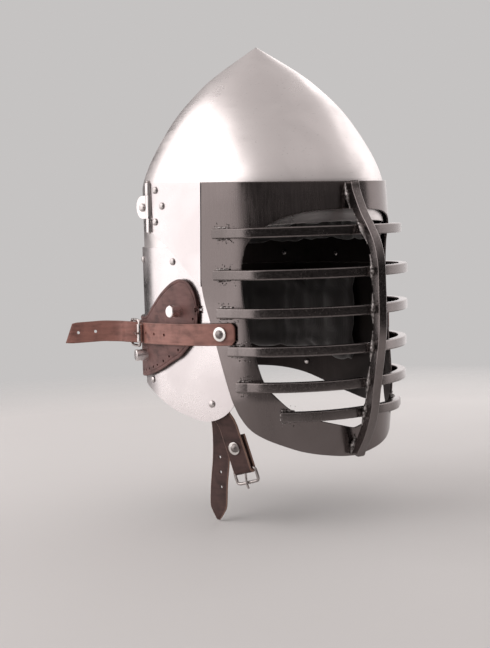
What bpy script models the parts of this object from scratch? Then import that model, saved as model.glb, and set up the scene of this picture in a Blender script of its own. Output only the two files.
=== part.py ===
"""Pointed steel helmet with a barred visor on side pivots.

Metres, +Z up. The face looks along -Y, the wearer's right is -X.
Driving dimensions are in millimetres, heights measured from the brow line,
and the origin is where the wearer's crown meets the underside of the crown pad.
"""
import math

import bmesh
import bpy
from mathutils import Matrix, Vector

for old in list(bpy.data.objects):
    bpy.data.objects.remove(old, do_unlink=True)

MM = 0.001
BROW_Z = -95.0          # brow line below the origin, mm

# ---- skull -------------------------------------------------------------
N_SIDE = 2.3            # how square the plan of the skull is
PLAN_Y = 4.0            # centre of the plan, behind the frame centre line
SKULL_A = 104.0         # half width at the brow
SKULL_T = 1.8
# height above the brow, half depth, centre shift
DOME = [(0, 118.4, 0.0), (3, 117.7, 0.0), (10, 115.8, 0.0), (20, 111.9, 0.0), (30, 107.0, 0.0),
        (40, 101.4, 0.1), (50, 95.2, 0.2), (60, 88.5, 0.3), (70, 80.7, 0.4), (80, 71.5, 0.7),
        (90, 61.0, 1.1), (100, 49.4, 1.4), (110, 35.2, 1.5), (120, 19.4, 1.5), (127, 8.0, 1.5)]
APEX_Z = 131.8
SKULL_RATIO = 0.880     # half width over half depth
BROW_EDGE = -36.0
SKULL_LOW = -78.0

# ---- neck guard, leather band -----------------------------------------------
GUARD_A = 105.8
GUARD_T = 1.5
BAND_A = 109.4
BAND_T = 3.0

# ---- visor -------------------------------------------------------------------
MASK_A = 107.9
MASK_T = 1.8
MASK_TAPER_Z = -195.0
MASK_TAPER = 0.09
ARM_A = 107.8
ARM_T = 1.6
LEAF_T = 1.4
LEAF_IN = 104.4
HINGE_Y = 40.0
HINGE_X = 107.9
HINGE_R = 3.3
PIN_R = 1.5
HINGE_TOP = 4.5
HINGE_CUTS = (-6.7, -28.9)
HINGE_BOTTOM = -41.5
PIVOT_Y = 53.0
PIVOT_Z = -18.0

BAR_H = 9.0             # horizontal bars, height
BAR_D = 8.0             # horizontal bars, depth
POST = 9.5              # upright bar, square
# level, y where the bar leaves the visor plate, reach along the plate, bow lengths
BARS = [(-44.0, -50.0, 34.0, 48.0), (-81.0, -50.0, 40.0, 46.0), (-115.0, -52.0, 38.0, 43.0),
        (-149.0, -61.0, 30.0, 44.0), (-181.0, -67.0, 26.0, 46.0), (-208.0, -96.0, 12.0, 35.0)]
POST_PATH = [(-121.7, -0.5), (-123.2, -9.0), (-127.4, -19.0), (-133.2, -31.0), (-141.0, -43.0),
             (-148.6, -57.0), (-152.4, -73.0), (-153.0, -90.0), (-153.0, -107.0), (-152.8, -126.0),
             (-151.3, -144.0), (-148.0, -163.0), (-144.2, -182.0), (-140.6, -203.0), (-136.2, -218.0),
             (-129.6, -232.0), (-122.8, -243.0), (-120.9, -248.5)]

GAP = 0.3

MATERIALS = {
    "polished_steel": ((0.74, 0.71, 0.70), 1.0, 0.25),
    "dark_steel": ((0.10, 0.085, 0.08), 0.9, 0.42),
    "bar_steel": ((0.16, 0.14, 0.14), 0.9, 0.40),
    "buckle_steel": ((0.16, 0.15, 0.15), 1.0, 0.38),
    "rivet_steel": ((0.42, 0.39, 0.38), 1.0, 0.32),
    "zinc": ((0.80, 0.79, 0.77), 1.0, 0.30),
    "strap_leather": ((0.28, 0.11, 0.085), 0.0, 0.60),
    "band_leather": ((0.17, 0.075, 0.065), 0.0, 0.68),
    "chin_leather": ((0.11, 0.045, 0.035), 0.0, 0.62),
    "liner_cloth": ((0.035, 0.03, 0.03), 0.0, 0.90),
}


def material_for(name, slot):
    color, metallic, rough = MATERIALS[slot]
    mat = bpy.data.materials.new(slot + "." + name)
    mat.use_nodes = True
    bsdf = mat.node_tree.nodes["Principled BSDF"]
    bsdf.inputs["Base Color"].default_value = (*color, 1.0)
    bsdf.inputs["Metallic"].default_value = metallic
    bsdf.inputs["Roughness"].default_value = rough
    return mat


def W(x, y, z):
    return Vector((x * MM, y * MM, (z + BROW_Z) * MM))


def finish(bm, name, slot, smooth=True, origin=None):
    """One named object from a closed bmesh built in world metres."""
    bmesh.ops.remove_doubles(bm, verts=bm.verts, dist=1e-6)
    bmesh.ops.recalc_face_normals(bm, faces=bm.faces)
    mesh = bpy.data.meshes.new(name)
    bm.to_mesh(mesh)
    bm.free()
    obj = bpy.data.objects.new(name, mesh)
    bpy.context.scene.collection.objects.link(obj)
    if slot:
        mesh.materials.append(material_for(name, slot))
    shade(obj, smooth)
    if origin is not None:
        set_origin(obj, origin)
    return obj


def shade(obj, smooth=True, angle=35.0):
    mesh = obj.data
    for poly in mesh.polygons:
        poly.use_smooth = smooth
    if smooth:
        mesh.set_sharp_from_angle(angle=math.radians(angle))


def set_origin(obj, point):
    obj.data.transform(Matrix.Translation(-point))
    obj.location = point


def boolean(obj, other, operation):
    mod = obj.modifiers.new("op", "BOOLEAN")
    mod.operation = operation
    mod.solver = "EXACT"
    mod.object = other
    deps = bpy.context.evaluated_depsgraph_get()
    deps.update()
    mesh = bpy.data.meshes.new_from_object(obj.evaluated_get(deps), depsgraph=deps)
    old = obj.data
    obj.modifiers.remove(mod)
    slots = [m for m in old.materials]
    obj.data = mesh
    if not mesh.materials:
        for m in slots:
            mesh.materials.append(m)
    while len(mesh.materials) > max(1, len(slots)):
        mesh.materials.pop(index=len(mesh.materials) - 1)
    bpy.data.meshes.remove(old)
    dead = other.data
    bpy.data.objects.remove(other, do_unlink=True)
    bpy.data.meshes.remove(dead)
    bm = bmesh.new()
    bm.from_mesh(mesh)
    bmesh.ops.remove_doubles(bm, verts=bm.verts, dist=1e-6)
    bmesh.ops.dissolve_degenerate(bm, edges=bm.edges, dist=1e-7)
    bm.to_mesh(mesh)
    bm.free()
    shade(obj)


def cut(obj, other):
    boolean(obj, other, "DIFFERENCE")


def fuse(obj, other):
    boolean(obj, other, "UNION")


# ---- shape helpers ------------------------------------------------------------
def lerp(a, b, t):
    return a + (b - a) * t


def table(rows, z, col):
    if z <= rows[0][0]:
        return rows[0][col]
    for lo, hi in zip(rows, rows[1:]):
        if z <= hi[0]:
            return lerp(lo[col], hi[col], (z - lo[0]) / (hi[0] - lo[0]))
    return rows[-1][col]


def plan(theta, a, b, n=N_SIDE, yc=PLAN_Y):
    """Point of the plan outline, theta from the face toward the wearer's right."""
    c = math.cos(theta)
    s = math.sin(theta)
    x = -a * math.copysign(abs(s) ** (2.0 / n), s)
    y = yc - b * math.copysign(abs(c) ** (2.0 / n), c)
    return x, y


def theta_y(y, b, n=N_SIDE, yc=PLAN_Y):
    f = (yc - y) / b
    c = math.copysign(abs(f) ** (n / 2.0), f)
    return math.acos(max(-1.0, min(1.0, c)))


def theta_x(x, a, n=N_SIDE):
    return math.asin(min(1.0, (abs(x) / a) ** (n / 2.0)))


def side_x(y, a, b, n=N_SIDE, yc=PLAN_Y):
    f = abs((yc - y) / b)
    return a * (1.0 - f ** n) ** (1.0 / n)


def resample(points, count):
    """Even spacing along a polyline of tuples, ends kept."""
    lengths = [0.0]
    for p, q in zip(points, points[1:]):
        lengths.append(lengths[-1] + math.dist(p, q))
    out = []
    for i in range(count + 1):
        s = lengths[-1] * i / count
        k = 0
        while k < len(points) - 2 and lengths[k + 1] < s:
            k += 1
        span = lengths[k + 1] - lengths[k]
        t = 0.0 if span == 0 else (s - lengths[k]) / span
        out.append(tuple(lerp(a, b, t) for a, b in zip(points[k], points[k + 1])))
    return out


def shell(name, slot, outer, inner, wrap, pole=False, origin=None):
    """Closed sheet between two grids [u][v]; wrap closes u, pole joins the last v."""
    bm = bmesh.new()

    def layer(grid):
        rows = []
        tip = bm.verts.new(grid[0][-1]) if pole else None
        for col in grid:
            line = [bm.verts.new(p) for p in (col[:-1] if pole else col)]
            if pole:
                line.append(tip)
            rows.append(line)
        return rows

    a = layer(outer)
    b = layer(inner)
    nu = len(a)
    nv = len(a[0])

    def face(*vs):
        unique = []
        for v in vs:
            if v not in unique:
                unique.append(v)
        if len(unique) > 2:
            bm.faces.new(unique)

    last = nu if wrap else nu - 1
    for i in range(last):
        j = (i + 1) % nu
        for k in range(nv - 1):
            face(a[i][k], a[j][k], a[j][k + 1], a[i][k + 1])
            face(b[i][k], b[i][k + 1], b[j][k + 1], b[j][k])
        face(a[i][0], b[i][0], b[j][0], a[j][0])
        if not pole:
            face(a[i][-1], a[j][-1], b[j][-1], b[i][-1])
    if not wrap:
        for k in range(nv - 1):
            face(a[0][k], a[0][k + 1], b[0][k + 1], b[0][k])
            face(a[-1][k], b[-1][k], b[-1][k + 1], a[-1][k + 1])
    return finish(bm, name, slot, True, origin)


def axes_for(axis):
    z = axis.normalized()
    ref = Vector((0, 0, 1)) if abs(z.z) < 0.9 else Vector((0, 1, 0))
    x = ref.cross(z).normalized()
    return x, z.cross(x), z


def revolve(name, slot, profile, centre, axis, seg=12, ring=False, origin=None):
    """Solid of revolution; profile is (radius, height) in mm about the axis."""
    x, y, z = axes_for(axis)
    bm = bmesh.new()
    loops = []
    for r, h in profile:
        base = centre + z * (h * MM)
        if r < 1e-6:
            loops.append([bm.verts.new(base)])
            continue
        loops.append([bm.verts.new(base + (x * math.cos(t) + y * math.sin(t)) * (r * MM))
                      for t in (2 * math.pi * i / seg for i in range(seg))])
    pairs = list(zip(loops, loops[1:]))
    if ring:
        pairs.append((loops[-1], loops[0]))
    for p, q in pairs:
        for i in range(seg):
            j = (i + 1) % seg
            vs = [p[i % len(p)], p[j % len(p)], q[j % len(q)], q[i % len(q)]]
            unique = []
            for v in vs:
                if v not in unique:
                    unique.append(v)
            if len(unique) > 2:
                bm.faces.new(unique)
    return finish(bm, name, slot, True, origin)


def drill(obj, centre, axis, radius, depth=12.0, seg=12):
    profile = [(0, -depth), (radius, -depth), (radius, depth), (0, depth)]
    cut(obj, revolve("cutter", None, profile, centre, axis, seg))


def sweep(name, slot, path, section, sides, closed=False, origin=None):
    """Section points (a, b) swept along the path; sides gives the a and b directions."""
    bm = bmesh.new()
    rings = []
    for i, p in enumerate(path):
        da, db = sides(i)
        rings.append([bm.verts.new(p + da * (a * MM) + db * (b * MM)) for a, b in section])
    n = len(section)
    count = len(rings) if closed else len(rings) - 1
    for i in range(count):
        p = rings[i]
        q = rings[(i + 1) % len(rings)]
        for k in range(n):
            m = (k + 1) % n
            bm.faces.new((p[k], p[m], q[m], q[k]))
    if not closed:
        bm.faces.new(list(reversed(rings[0])))
        bm.faces.new(rings[-1])
    return finish(bm, name, slot, True, origin)


def chamfered(w, h, c):
    return [(-w / 2 + c, -h / 2), (w / 2 - c, -h / 2), (w / 2, -h / 2 + c), (w / 2, h / 2 - c),
            (w / 2 - c, h / 2), (-w / 2 + c, h / 2), (-w / 2, h / 2 - c), (-w / 2, -h / 2 + c)]


def disc(r, seg=8):
    return [(r * math.cos(2 * math.pi * i / seg), r * math.sin(2 * math.pi * i / seg))
            for i in range(seg)]


def normals(path, up=None):
    """In-plane normals of a path and the up direction, for sweep."""
    up = up or Vector((0, 0, 1))

    def sides(i):
        a = path[max(0, i - 1)]
        b = path[min(len(path) - 1, i + 1)]
        t = (b - a).normalized()
        return t.cross(up).normalized(), up
    return sides


def ribbon(name, slot, rows, thick, origin=None):
    """Flat strap; rows are (x, y, z centre, half width, edge direction or None)."""
    outer = []
    inner = []
    pts = [Vector(r[:3]) for r in rows]
    for i, row in enumerate(rows):
        t = (pts[min(i + 1, len(rows) - 1)] - pts[max(i - 1, 0)]).normalized()
        edge = row[4] if len(row) > 4 and row[4] is not None else Vector((0, 0, 1))
        edge = (edge - t * edge.dot(t)).normalized()
        nrm = t.cross(edge).normalized() * (thick / 2.0)
        hw = row[3]
        outer.append([W(*(pts[i] + nrm + edge * (hw * k))) for k in (-1, 0, 1)])
        inner.append([W(*(pts[i] - nrm + edge * (hw * k))) for k in (-1, 0, 1)])
    return shell(name, slot, outer, inner, False, origin=origin)


# ---- skull --------------------------------------------------------------------
def skull_point(theta, z, off=0.0):
    b = table(DOME, z, 1)
    shift = table(DOME, z, 2)
    n = N_SIDE - 0.2 * max(0.0, z) / APEX_Z
    a = SKULL_A - 0.2 if z <= 0 else b * SKULL_RATIO
    if z > 127:
        b = 8.0 * (APEX_Z - z) / (APEX_Z - 127.0)
        a = b
    x, y = plan(theta, max(0.0, a - off), max(0.0, b - off), n, PLAN_Y + shift)
    return x, y


def brow_low(theta):
    """Lower edge of the skull at an angle from the face."""
    t = abs(math.degrees(math.atan2(math.sin(theta), math.cos(theta))))
    lo = 50.0
    hi = 61.0
    if t <= lo:
        return BROW_EDGE - 3.0 * (t / lo) ** 2
    if t >= hi:
        return SKULL_LOW
    f = (t - lo) / (hi - lo)
    return lerp(BROW_EDGE - 3.0, SKULL_LOW, f * f * (3 - 2 * f))


SKULL_ROWS = [0.0, 10, 23, 38, 54, 70, 85, 98, 110, 120]


def skull_grid(off, drop=0.0, cols=48, rows=SKULL_ROWS, apex=APEX_Z, under=3):
    grid = []
    for i in range(cols):
        theta = 2 * math.pi * i / cols
        low = brow_low(theta) + drop
        col = []
        for k in range(under):
            z = lerp(low, 0.0, k / under)
            col.append(W(*skull_point(theta, z, off), z))
        for z in rows:
            col.append(W(*skull_point(theta, z, off), z))
        col.append(W(0, PLAN_Y + 1.5, apex))
        grid.append(col)
    return grid


skull = shell("skull", "polished_steel", skull_grid(0.0),
              skull_grid(SKULL_T, apex=APEX_Z - 3.4), True, True)

# Quilted lining held inside the skull.
LINER_T = 12.0


def liner_grid(off, apex, cols=32):
    grid = []
    rows = [0.0, 20, 40, 60, 76, 90, 100]
    for i in range(cols):
        theta = 2 * math.pi * i / cols
        low = max(brow_low(theta) - 4.0, -60.0)
        col = []
        for k in range(2):
            z = lerp(low, 0.0, k / 2)
            col.append(W(*skull_point(theta, z, off), z))
        for z in rows:
            f = z * (apex / 125.0)
            col.append(W(*skull_point(theta, z, off), f))
        col.append(W(0, PLAN_Y + 1.0, apex))
        grid.append(col)
    return grid


liner_crown = shell("liner_crown", "liner_cloth", liner_grid(SKULL_T + 1.2, 108.0),
                    liner_grid(SKULL_T + 1.2 + LINER_T, 95.0), True, True)


# ---- neck guard -----------------------------------------------------------------
def whole(edge):
    """Mirror a right-hand (y or theta, z) edge through the back."""
    right = [(t, z) for t, z in edge]
    left = [(2 * math.pi - t, z) for t, z in reversed(edge)]
    return right + left[1:] if abs(right[-1][0] - math.pi) < 1e-6 else right + left


GB = GUARD_A + 14.6


def patch_from_outline(name, slot, corners_top, corners_low, a, b, thick, rows):
    outer = []
    inner = []
    for (t0, z0), (t1, z1) in zip(corners_top, corners_low):
        co = []
        ci = []
        for k in range(rows + 1):
            f = k / rows
            theta = lerp(t0, t1, f)
            z = lerp(z0, z1, f)
            co.append(W(*plan(theta, a(z), b(z)), z))
            ci.append(W(*plan(theta, a(z) - thick, b(z) - thick), z))
        outer.append(co)
        inner.append(ci)
    return shell(name, slot, outer, inner, False)


def ys(*pairs):
    return [(theta_y(y, GB), z) for y, z in pairs]


# Matching points along the top and lower edges of the guard, face to back.
STEP = math.radians(7.5)


def low_edge(y):
    return table([(-64, -183), (-30, -214.6), (-18, -213.4), (-4, -210.8), (11, -207.2), (27, -202.4),
                  (43, -196.8), (60, -191.4), (78, -187.6), (97, -185.6), (130, -184.6)], y, 1)


g_top = ys((-44.5, -62), (-44.2, -59), (-43.4, -57), (-41, -56.2), (-37, -56), (-31, -56), (-23.5, -56))
g_low = ys((-64, -183), (-63, -190), (-60.5, -197), (-56.5, -203), (-50, -208.6), (-41, -212.8),
           (-30, -214.6))
for k in range(11, 25):
    th = STEP * k
    g_top.append((th, -56.0))
    g_low.append((th, low_edge(plan(th, GUARD_A, GB)[1])))
FRONT_BOW = [0.0, 5.2, 9.2, 4.6, 0.0]


def guard_patch(name, slot, top, low, a, b, thick, rows, bow):
    outer = []
    inner = []
    count = len(top)
    for i, ((t0, z0), (t1, z1)) in enumerate(zip(top, low)):
        near = min(i, count - 1 - i)
        weight = max(0.0, 1.0 - near / 6.0)
        turn = 1.0 if i < count / 2 else -1.0
        co = []
        ci = []
        for k in range(rows + 1):
            f = k / rows
            theta = lerp(t0, t1, f) + turn * weight * bow[k] / 108.0
            z = lerp(z0, z1, f)
            co.append(W(*plan(theta, a, b), z))
            ci.append(W(*plan(theta, a - thick, b - thick), z))
        outer.append(co)
        inner.append(ci)
    return shell(name, slot, outer, inner, False)


neck_guard = guard_patch("neck_guard", "polished_steel", whole(g_top), whole(g_low),
                         GUARD_A, GB, GUARD_T, 4, FRONT_BOW)

# Pad inside the neck guard.
pad_top = ys((-24, -84), (-10, -84), (8, -84), (27, -84), (45, -84), (62, -84), (80, -84), (98, -84))
pad_low = ys((-24, -176), (-10, -180), (8, -180), (27, -177), (45, -173), (62, -170), (80, -168),
             (98, -167))
for k in range(1, 4):
    back = lerp(theta_y(98, GB), math.pi, k / 3.0)
    pad_top.append((back, -84.0))
    pad_low.append((back, -166.0))
patch_from_outline("liner_neck", "liner_cloth", whole(pad_top), whole(pad_low),
                   lambda z: 102.0, lambda z: 102.0 + 14.6, LINER_T, 3)

# Leather band that would carry a mail curtain.
BB = BAND_A + 14.6


def by(y):
    return theta_y(y, BB)


b_top = [(by(y), z) for y, z in ((-26.6, -108), (-24.5, -99), (-20, -91.5), (-14, -86.6), (-6, -84.8))]
b_low = [(by(y), z) for y, z in ((-27.4, -117), (-26.4, -126), (-23.4, -134.6), (-18, -143),
                                 (-9, -151.6))]


def band_edge(y, col):
    return table([(-6, -84.8, -153.0), (4, -86.4, -159.4), (16, -91.8, -164.8), (27, -98.4, -169.3),
                  (38, -106, -173), (48, -114, -175.8), (57, -119.6, -178), (68, -122, -179.4),
                  (82, -122.5, -180.6), (98, -122.5, -181), (140, -122.5, -181)], y, col)


for k in range(12, 25):
    th = STEP * k
    y = plan(th, BAND_A, BB)[1]
    b_top.append((th, band_edge(y, 1)))
    b_low.append((th, band_edge(y, 2)))
aventail_band = patch_from_outline("aventail_band", "band_leather", whole(b_top), whole(b_low),
                                   lambda z: BAND_A, lambda z: BB, BAND_T, 2)


# ---- visor plate ------------------------------------------------------------------
MASK_B = [(-260, 124.2), (-60, 124.2), (-45, 123.8), (-30, 123.0), (-10, 121.4), (0, 120.5), (10, 120.2)]


def mask_ab(z, off=0.0):
    taper = MASK_TAPER * max(0.0, MASK_TAPER_Z - z)
    return MASK_A - taper + off, table(MASK_B, z, 1) - taper + off


def mask_point(theta, z, off=0.0):
    a, b = mask_ab(z, off)
    x, y = plan(theta, a, b)
    return W(x, y, z)


def tz(pairs, kind):
    out = []
    for v, z in pairs:
        a, b = mask_ab(z)
        out.append((theta_y(v, b) if kind == "y" else theta_x(v, a), z))
    return out


def top_z(y):
    return max(0.0, (y + 116.0) * 0.030)


REAR = [(-35.0, 2.4), (-34.2, -18.0), (-33.4, -40.0), (-32.4, -64.0), (-31.6, -88.0), (-34.4, -104.0),
        (-40.2, -123.0), (-46.8, -147.0), (-53.4, -171.0), (-60.2, -194.0), (-65.0, -207.0)]
th_rear = theta_y(-35.0, mask_ab(2.4)[1])
outer_top = []
for i in range(11):
    th = th_rear * i / 10
    y = plan(th, *mask_ab(0.0))[1]
    outer_top.append((th, top_z(y)))
outer_rear = tz(REAR, "y")
outer_rear[0] = outer_top[-1]
outer_low = tz([(-65.0, -207.0), (-70.0, -216.0), (-76.0, -223.0)], "y") + tz(
    [(78.0, -229.5), (68.8, -234.6), (61.5, -238.0), (53.0, -241.3), (41.0, -244.4), (28.0, -246.8),
     (14.0, -248.9), (0.0, -250.0)], "x")
hole_top = tz([(0.0, -25.2), (14.0, -25.4), (30.0, -25.9), (46.8, -27.2), (57.0, -29.4), (65.2, -31.8),
               (71.5, -35.0), (76.7, -38.6), (82.0, -43.8), (85.6, -49.0)], "x")
hole_side = tz([(85.6, -49.0), (88.4, -55.0), (89.8, -62.5), (91.0, -74.0), (91.2, -88.0), (90.6, -106.0),
                (89.0, -125.6), (87.6, -141.6), (84.8, -158.6), (81.6, -175.0), (77.0, -186.0)], "x")
hole_low = tz([(77.0, -186.0), (73.4, -191.0), (67.5, -198.5), (61.0, -204.2), (52.0, -209.0),
               (41.0, -213.2), (28.5, -216.8), (14.0, -220.6), (0.0, -224.0)], "x")


def ring_half(parts):
    out = []
    for pts, count in parts:
        r = resample(pts, count)
        out.extend(r if not out else r[1:])
    return out


def scale_even(pts):
    """Resample in a space where one radian of turn counts as 110 mm."""
    return [(t * 110.0, z) for t, z in pts]


def unscale(pts):
    return [(t / 110.0, z) for t, z in pts]


outer_half = unscale(ring_half([(scale_even(outer_top), 10), (scale_even(outer_rear), 13),
                                (scale_even(outer_low), 10)]))
hole_half = unscale(ring_half([(scale_even(hole_top), 10), (scale_even(hole_side), 13),
                               (scale_even(hole_low), 10)]))


def full_ring(half):
    return half + [(-t, z) for t, z in reversed(half[1:-1])]


def mask_grid(off):
    grid = []
    for (t0, z0), (t1, z1) in zip(full_ring(outer_half), full_ring(hole_half)):
        grid.append([mask_point(lerp(t0, t1, k / 4.0), lerp(z0, z1, k / 4.0), off) for k in range(5)])
    return grid


PIVOT = W(0, PIVOT_Y, PIVOT_Z)
visor_mask = shell("visor_mask", "dark_steel", mask_grid(0.0), mask_grid(-MASK_T), True, origin=PIVOT)


# ---- rivets -----------------------------------------------------------------------
def outward(theta, a, b):
    """Outward normal of the plan outline."""
    d = 1e-4
    x0, y0 = plan(theta - d, a, b)
    x1, y1 = plan(theta + d, a, b)
    return Vector((-(y1 - y0), x1 - x0, 0)).normalized()


def out_normal(theta, a, b):
    n = outward(theta, a, b)
    x, y = plan(theta, a, b)
    if n.x * x + n.y * (y - PLAN_Y) < 0:
        n.negate()
    return n


def rivet(name, slot, centre, axis, head, grip, shank=1.9, tail=3.0, washer=0.0, seg=10, origin=None):
    """Domed rivet; centre is on the outer surface, grip is what it passes through."""
    g = 0.35
    base = g
    profile = []
    if washer:
        base = g + 1.1
    top = base + head * 0.52
    profile += [(0, top), (head * 0.62, base + head * 0.40), (head, base)]
    if washer:
        profile += [(washer, base), (washer, g)]
    profile += [(shank, g), (shank, -grip - g), (tail, -grip - g), (tail * 0.7, -grip - g - 1.1),
                (0, -grip - g - 1.1)]
    return revolve(name, slot, profile, centre, axis, seg, origin=origin)


def on_guard(y, z, side):
    th = theta_y(y, GB)
    x, yy = plan(th, GUARD_A, GB)
    n = out_normal(th, GUARD_A, GB)
    return W(x * side, yy, z), Vector((n.x * side, n.y, 0))


SIDES = (("R", 1), ("L", -1))
UPPER_RIVETS = ((9.0, -69.0, "mid"), (74.0, -67.5, "rear"))
LOWER_RIVETS = ((53.5, -181.5, "rear"), (-37.5, -198.0, "front"))
CHIN_T = 2.4
for tag, side in SIDES:
    for y, z, where in UPPER_RIVETS:
        c, n = on_guard(y, z, side)
        drill(neck_guard, c, n, 2.2)
        drill(skull, c, n, 2.2)
        rivet("guard_rivet_%s_%s" % (where, tag), "rivet_steel", c, n, 4.0, 4.2)
    for y, z, where in LOWER_RIVETS:
        c, n = on_guard(y, z, side)
        drill(neck_guard, c, n, 2.2)
        rivet("edge_rivet_%s_%s" % (where, tag), "rivet_steel", c, n, 4.0,
              GUARD_T + (CHIN_T * 2 + 2.7 if where == "front" and tag == "R" else 0.2))

# ---- mail-curtain staples ------------------------------------------------------------
for tag, side in SIDES:
    for num, (y, z) in enumerate(((-2.3, -114.0), (61.9, -158.2)), 1):
        th = theta_y(y, BB)
        x, yy = plan(th, GUARD_A, GB)
        n = out_normal(th, GUARD_A, GB)
        c = W(x * side, yy, z)
        n = Vector((n.x * side, n.y, 0))
        drill(aventail_band, c, n, 5.9, 14.0, 16)
        drill(neck_guard, c, n, 2.3)
        post = revolve("vervelle_%d_%s" % (num, tag), "polished_steel",
                       [(0, 15.0), (4.9, 15.0), (5.5, 14.4), (5.5, 0.35), (2.0, 0.35), (2.0, -1.9),
                        (3.6, -1.9), (2.9, -3.0), (0, -3.0)], c, n, 16)
        drill(post, c + n * (11.2 * MM), Vector((0, 0, 1)), 1.6, 9.0, 10)

# ---- visor arms, hinges ------------------------------------------------------------
ARM_B = 121.6


def flat_side(y, a, b):
    return a if y >= PLAN_Y else side_x(y, a, b)


ARM_LOW = [(-31.2, -91.6), (-22.0, -83.6), (-12.0, -74.8), (2.0, -63.6), (15.0, -54.8), (25.0, -49.6),
           (31.5, -46.2), (34.6, -43.6), (35.8, -41.5)]


def arm_front(z):
    return table([(-92, -30.8), (-88, -30.7), (-64, -31.5), (-40, -32.5), (-18, -33.3), (5, -34.1)], z, 1)


for tag, side in SIDES:
    outer = []
    inner = []
    for i, (yl, zl) in enumerate(ARM_LOW):
        f = (yl - ARM_LOW[0][0]) / (ARM_LOW[-1][0] - ARM_LOW[0][0])
        co = []
        ci = []
        for k in range(5):
            z = lerp(top_z(lerp(-34.6, 35.8, f)), zl, k / 4.0)
            y = lerp(arm_front(z), 35.8, f)
            xo = flat_side(y, ARM_A, ARM_B)
            xi = flat_side(y, ARM_A - ARM_T, ARM_B - ARM_T)
            co.append(W(-xo * side, y, z))
            ci.append(W(-xi * side, y, z))
        outer.append(co)
        inner.append(ci)
    arm = shell("visor_arm_" + tag, "polished_steel", outer, inner, False, origin=PIVOT)

    def box(x0, x1, y0, y1, z0, z1, slot=None, name="block"):
        bm = bmesh.new()
        vs = [bm.verts.new(W(-x * side, y, z)) for x in (x0, x1) for y in (y0, y1) for z in (z0, z1)]
        for f in ((0, 1, 3, 2), (4, 6, 7, 5), (0, 4, 5, 1), (2, 3, 7, 6), (0, 2, 6, 4), (1, 5, 7, 3)):
            bm.faces.new([vs[i] for i in f])
        return finish(bm, name, slot, True)

    def knuckle(name, slot, z0, z1):
        return revolve(name, slot, [(PIN_R + 0.3, z0), (HINGE_R, z0), (HINGE_R, z1), (PIN_R + 0.3, z1)],
                       W(-HINGE_X * side, HINGE_Y, 0), Vector((0, 0, 1)), 16, ring=True)

    lo, hi = HINGE_CUTS[1], HINGE_CUTS[0]
    # Front leaf: two knuckles, lies under the arm.
    front = knuckle("hinge_front_" + tag, "polished_steel", hi + 0.15, HINGE_TOP)
    fuse(front, box(LEAF_IN, LEAF_IN + LEAF_T, 8.5, 36.2, HINGE_BOTTOM, HINGE_TOP - 1.0))
    fuse(front, knuckle("k", None, HINGE_BOTTOM, lo - 0.15))
    fuse(front, box(LEAF_IN, LEAF_IN + LEAF_T, 35.0, HINGE_Y, hi + 0.15, HINGE_TOP))
    fuse(front, box(LEAF_IN, LEAF_IN + LEAF_T, 35.0, HINGE_Y, HINGE_BOTTOM, lo - 0.15))
    # Rear leaf: one knuckle, turns on the skull about the pivot rivet.
    rear = knuckle("hinge_rear_" + tag, "polished_steel", lo + 0.15, hi - 0.15)
    bm = bmesh.new()
    outline = [(HINGE_Y, lo + 0.15), (HINGE_Y, hi - 0.15)]
    for i in range(9):
        t = math.pi / 2 - math.pi * i / 8
        outline.append((PIVOT_Y + 1.0 + 9.0 * math.cos(t), PIVOT_Z + 0.2 + 10.75 * math.sin(t)))
    a = [bm.verts.new(W(-LEAF_IN * side, y, z)) for y, z in outline]
    b = [bm.verts.new(W(-(LEAF_IN + LEAF_T) * side, y, z)) for y, z in outline]
    bm.faces.new(a)
    bm.faces.new(list(reversed(b)))
    for i in range(len(a)):
        j = (i + 1) % len(a)
        bm.faces.new((a[i], b[i], b[j], a[j]))
    fuse(rear, finish(bm, "plate", None))
    ax = Vector((-side, 0, 0))
    hole = W(-(LEAF_IN + LEAF_T) * side, PIVOT_Y, PIVOT_Z)
    skull_x = side_x(PIVOT_Y, SKULL_A - 0.2, DOME[0][1])
    drill(rear, hole, ax, 2.9, 6.0)
    drill(skull, hole, ax, 2.6, 30.0)
    drill(liner_crown, W(-(skull_x - 3.0) * side, PIVOT_Y, PIVOT_Z), ax, 6.0, 5.4, 10)
    # Pivot rivet with a collar that spaces the leaf off the skull.
    edge_x = side_x(PIVOT_Y - 4.5, SKULL_A - 0.2, DOME[0][1])
    depth = LEAF_IN + LEAF_T
    revolve("pivot_rivet_" + tag, "rivet_steel",
            [(0, 2.9), (2.4, 2.6), (3.8, 1.6), (4.3, 0.35), (2.5, 0.35), (2.5, -LEAF_T - 0.3),
             (4.4, -LEAF_T - 0.3), (4.4, edge_x + 0.4 - depth), (2.2, edge_x + 0.4 - depth),
             (2.2, skull_x - 3.6 - depth), (3.9, skull_x - 3.6 - depth), (3.2, skull_x - 5.0 - depth),
             (0, skull_x - 5.0 - depth)],
            hole, ax, 16, origin=PIVOT)
    # Hinge pin: lifts out by its head.
    pin_at = W(-HINGE_X * side, HINGE_Y, 0)
    revolve("hinge_pin_" + tag, "buckle_steel",
            [(0, HINGE_TOP + 2.4), (1.9, HINGE_TOP + 2.1), (2.5, HINGE_TOP + 1.3), (2.3, HINGE_TOP + 0.3),
             (PIN_R, HINGE_TOP + 0.3), (PIN_R, HINGE_BOTTOM - 0.8), (PIN_R * 0.5, HINGE_BOTTOM - 1.6),
             (0, HINGE_BOTTOM - 1.6)],
            pin_at, Vector((0, 0, 1)), 12, origin=W(-HINGE_X * side, HINGE_Y, HINGE_TOP))
    for num, (y, z) in enumerate(((29.6, -2.6), (19.9, -17.4), (31.0, -32.0)), 1):
        c = W(-ARM_A * side, y, z)
        drill(arm, c, ax, 2.1, 8.0)
        drill(front, c, ax, 2.1, 8.0)
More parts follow.
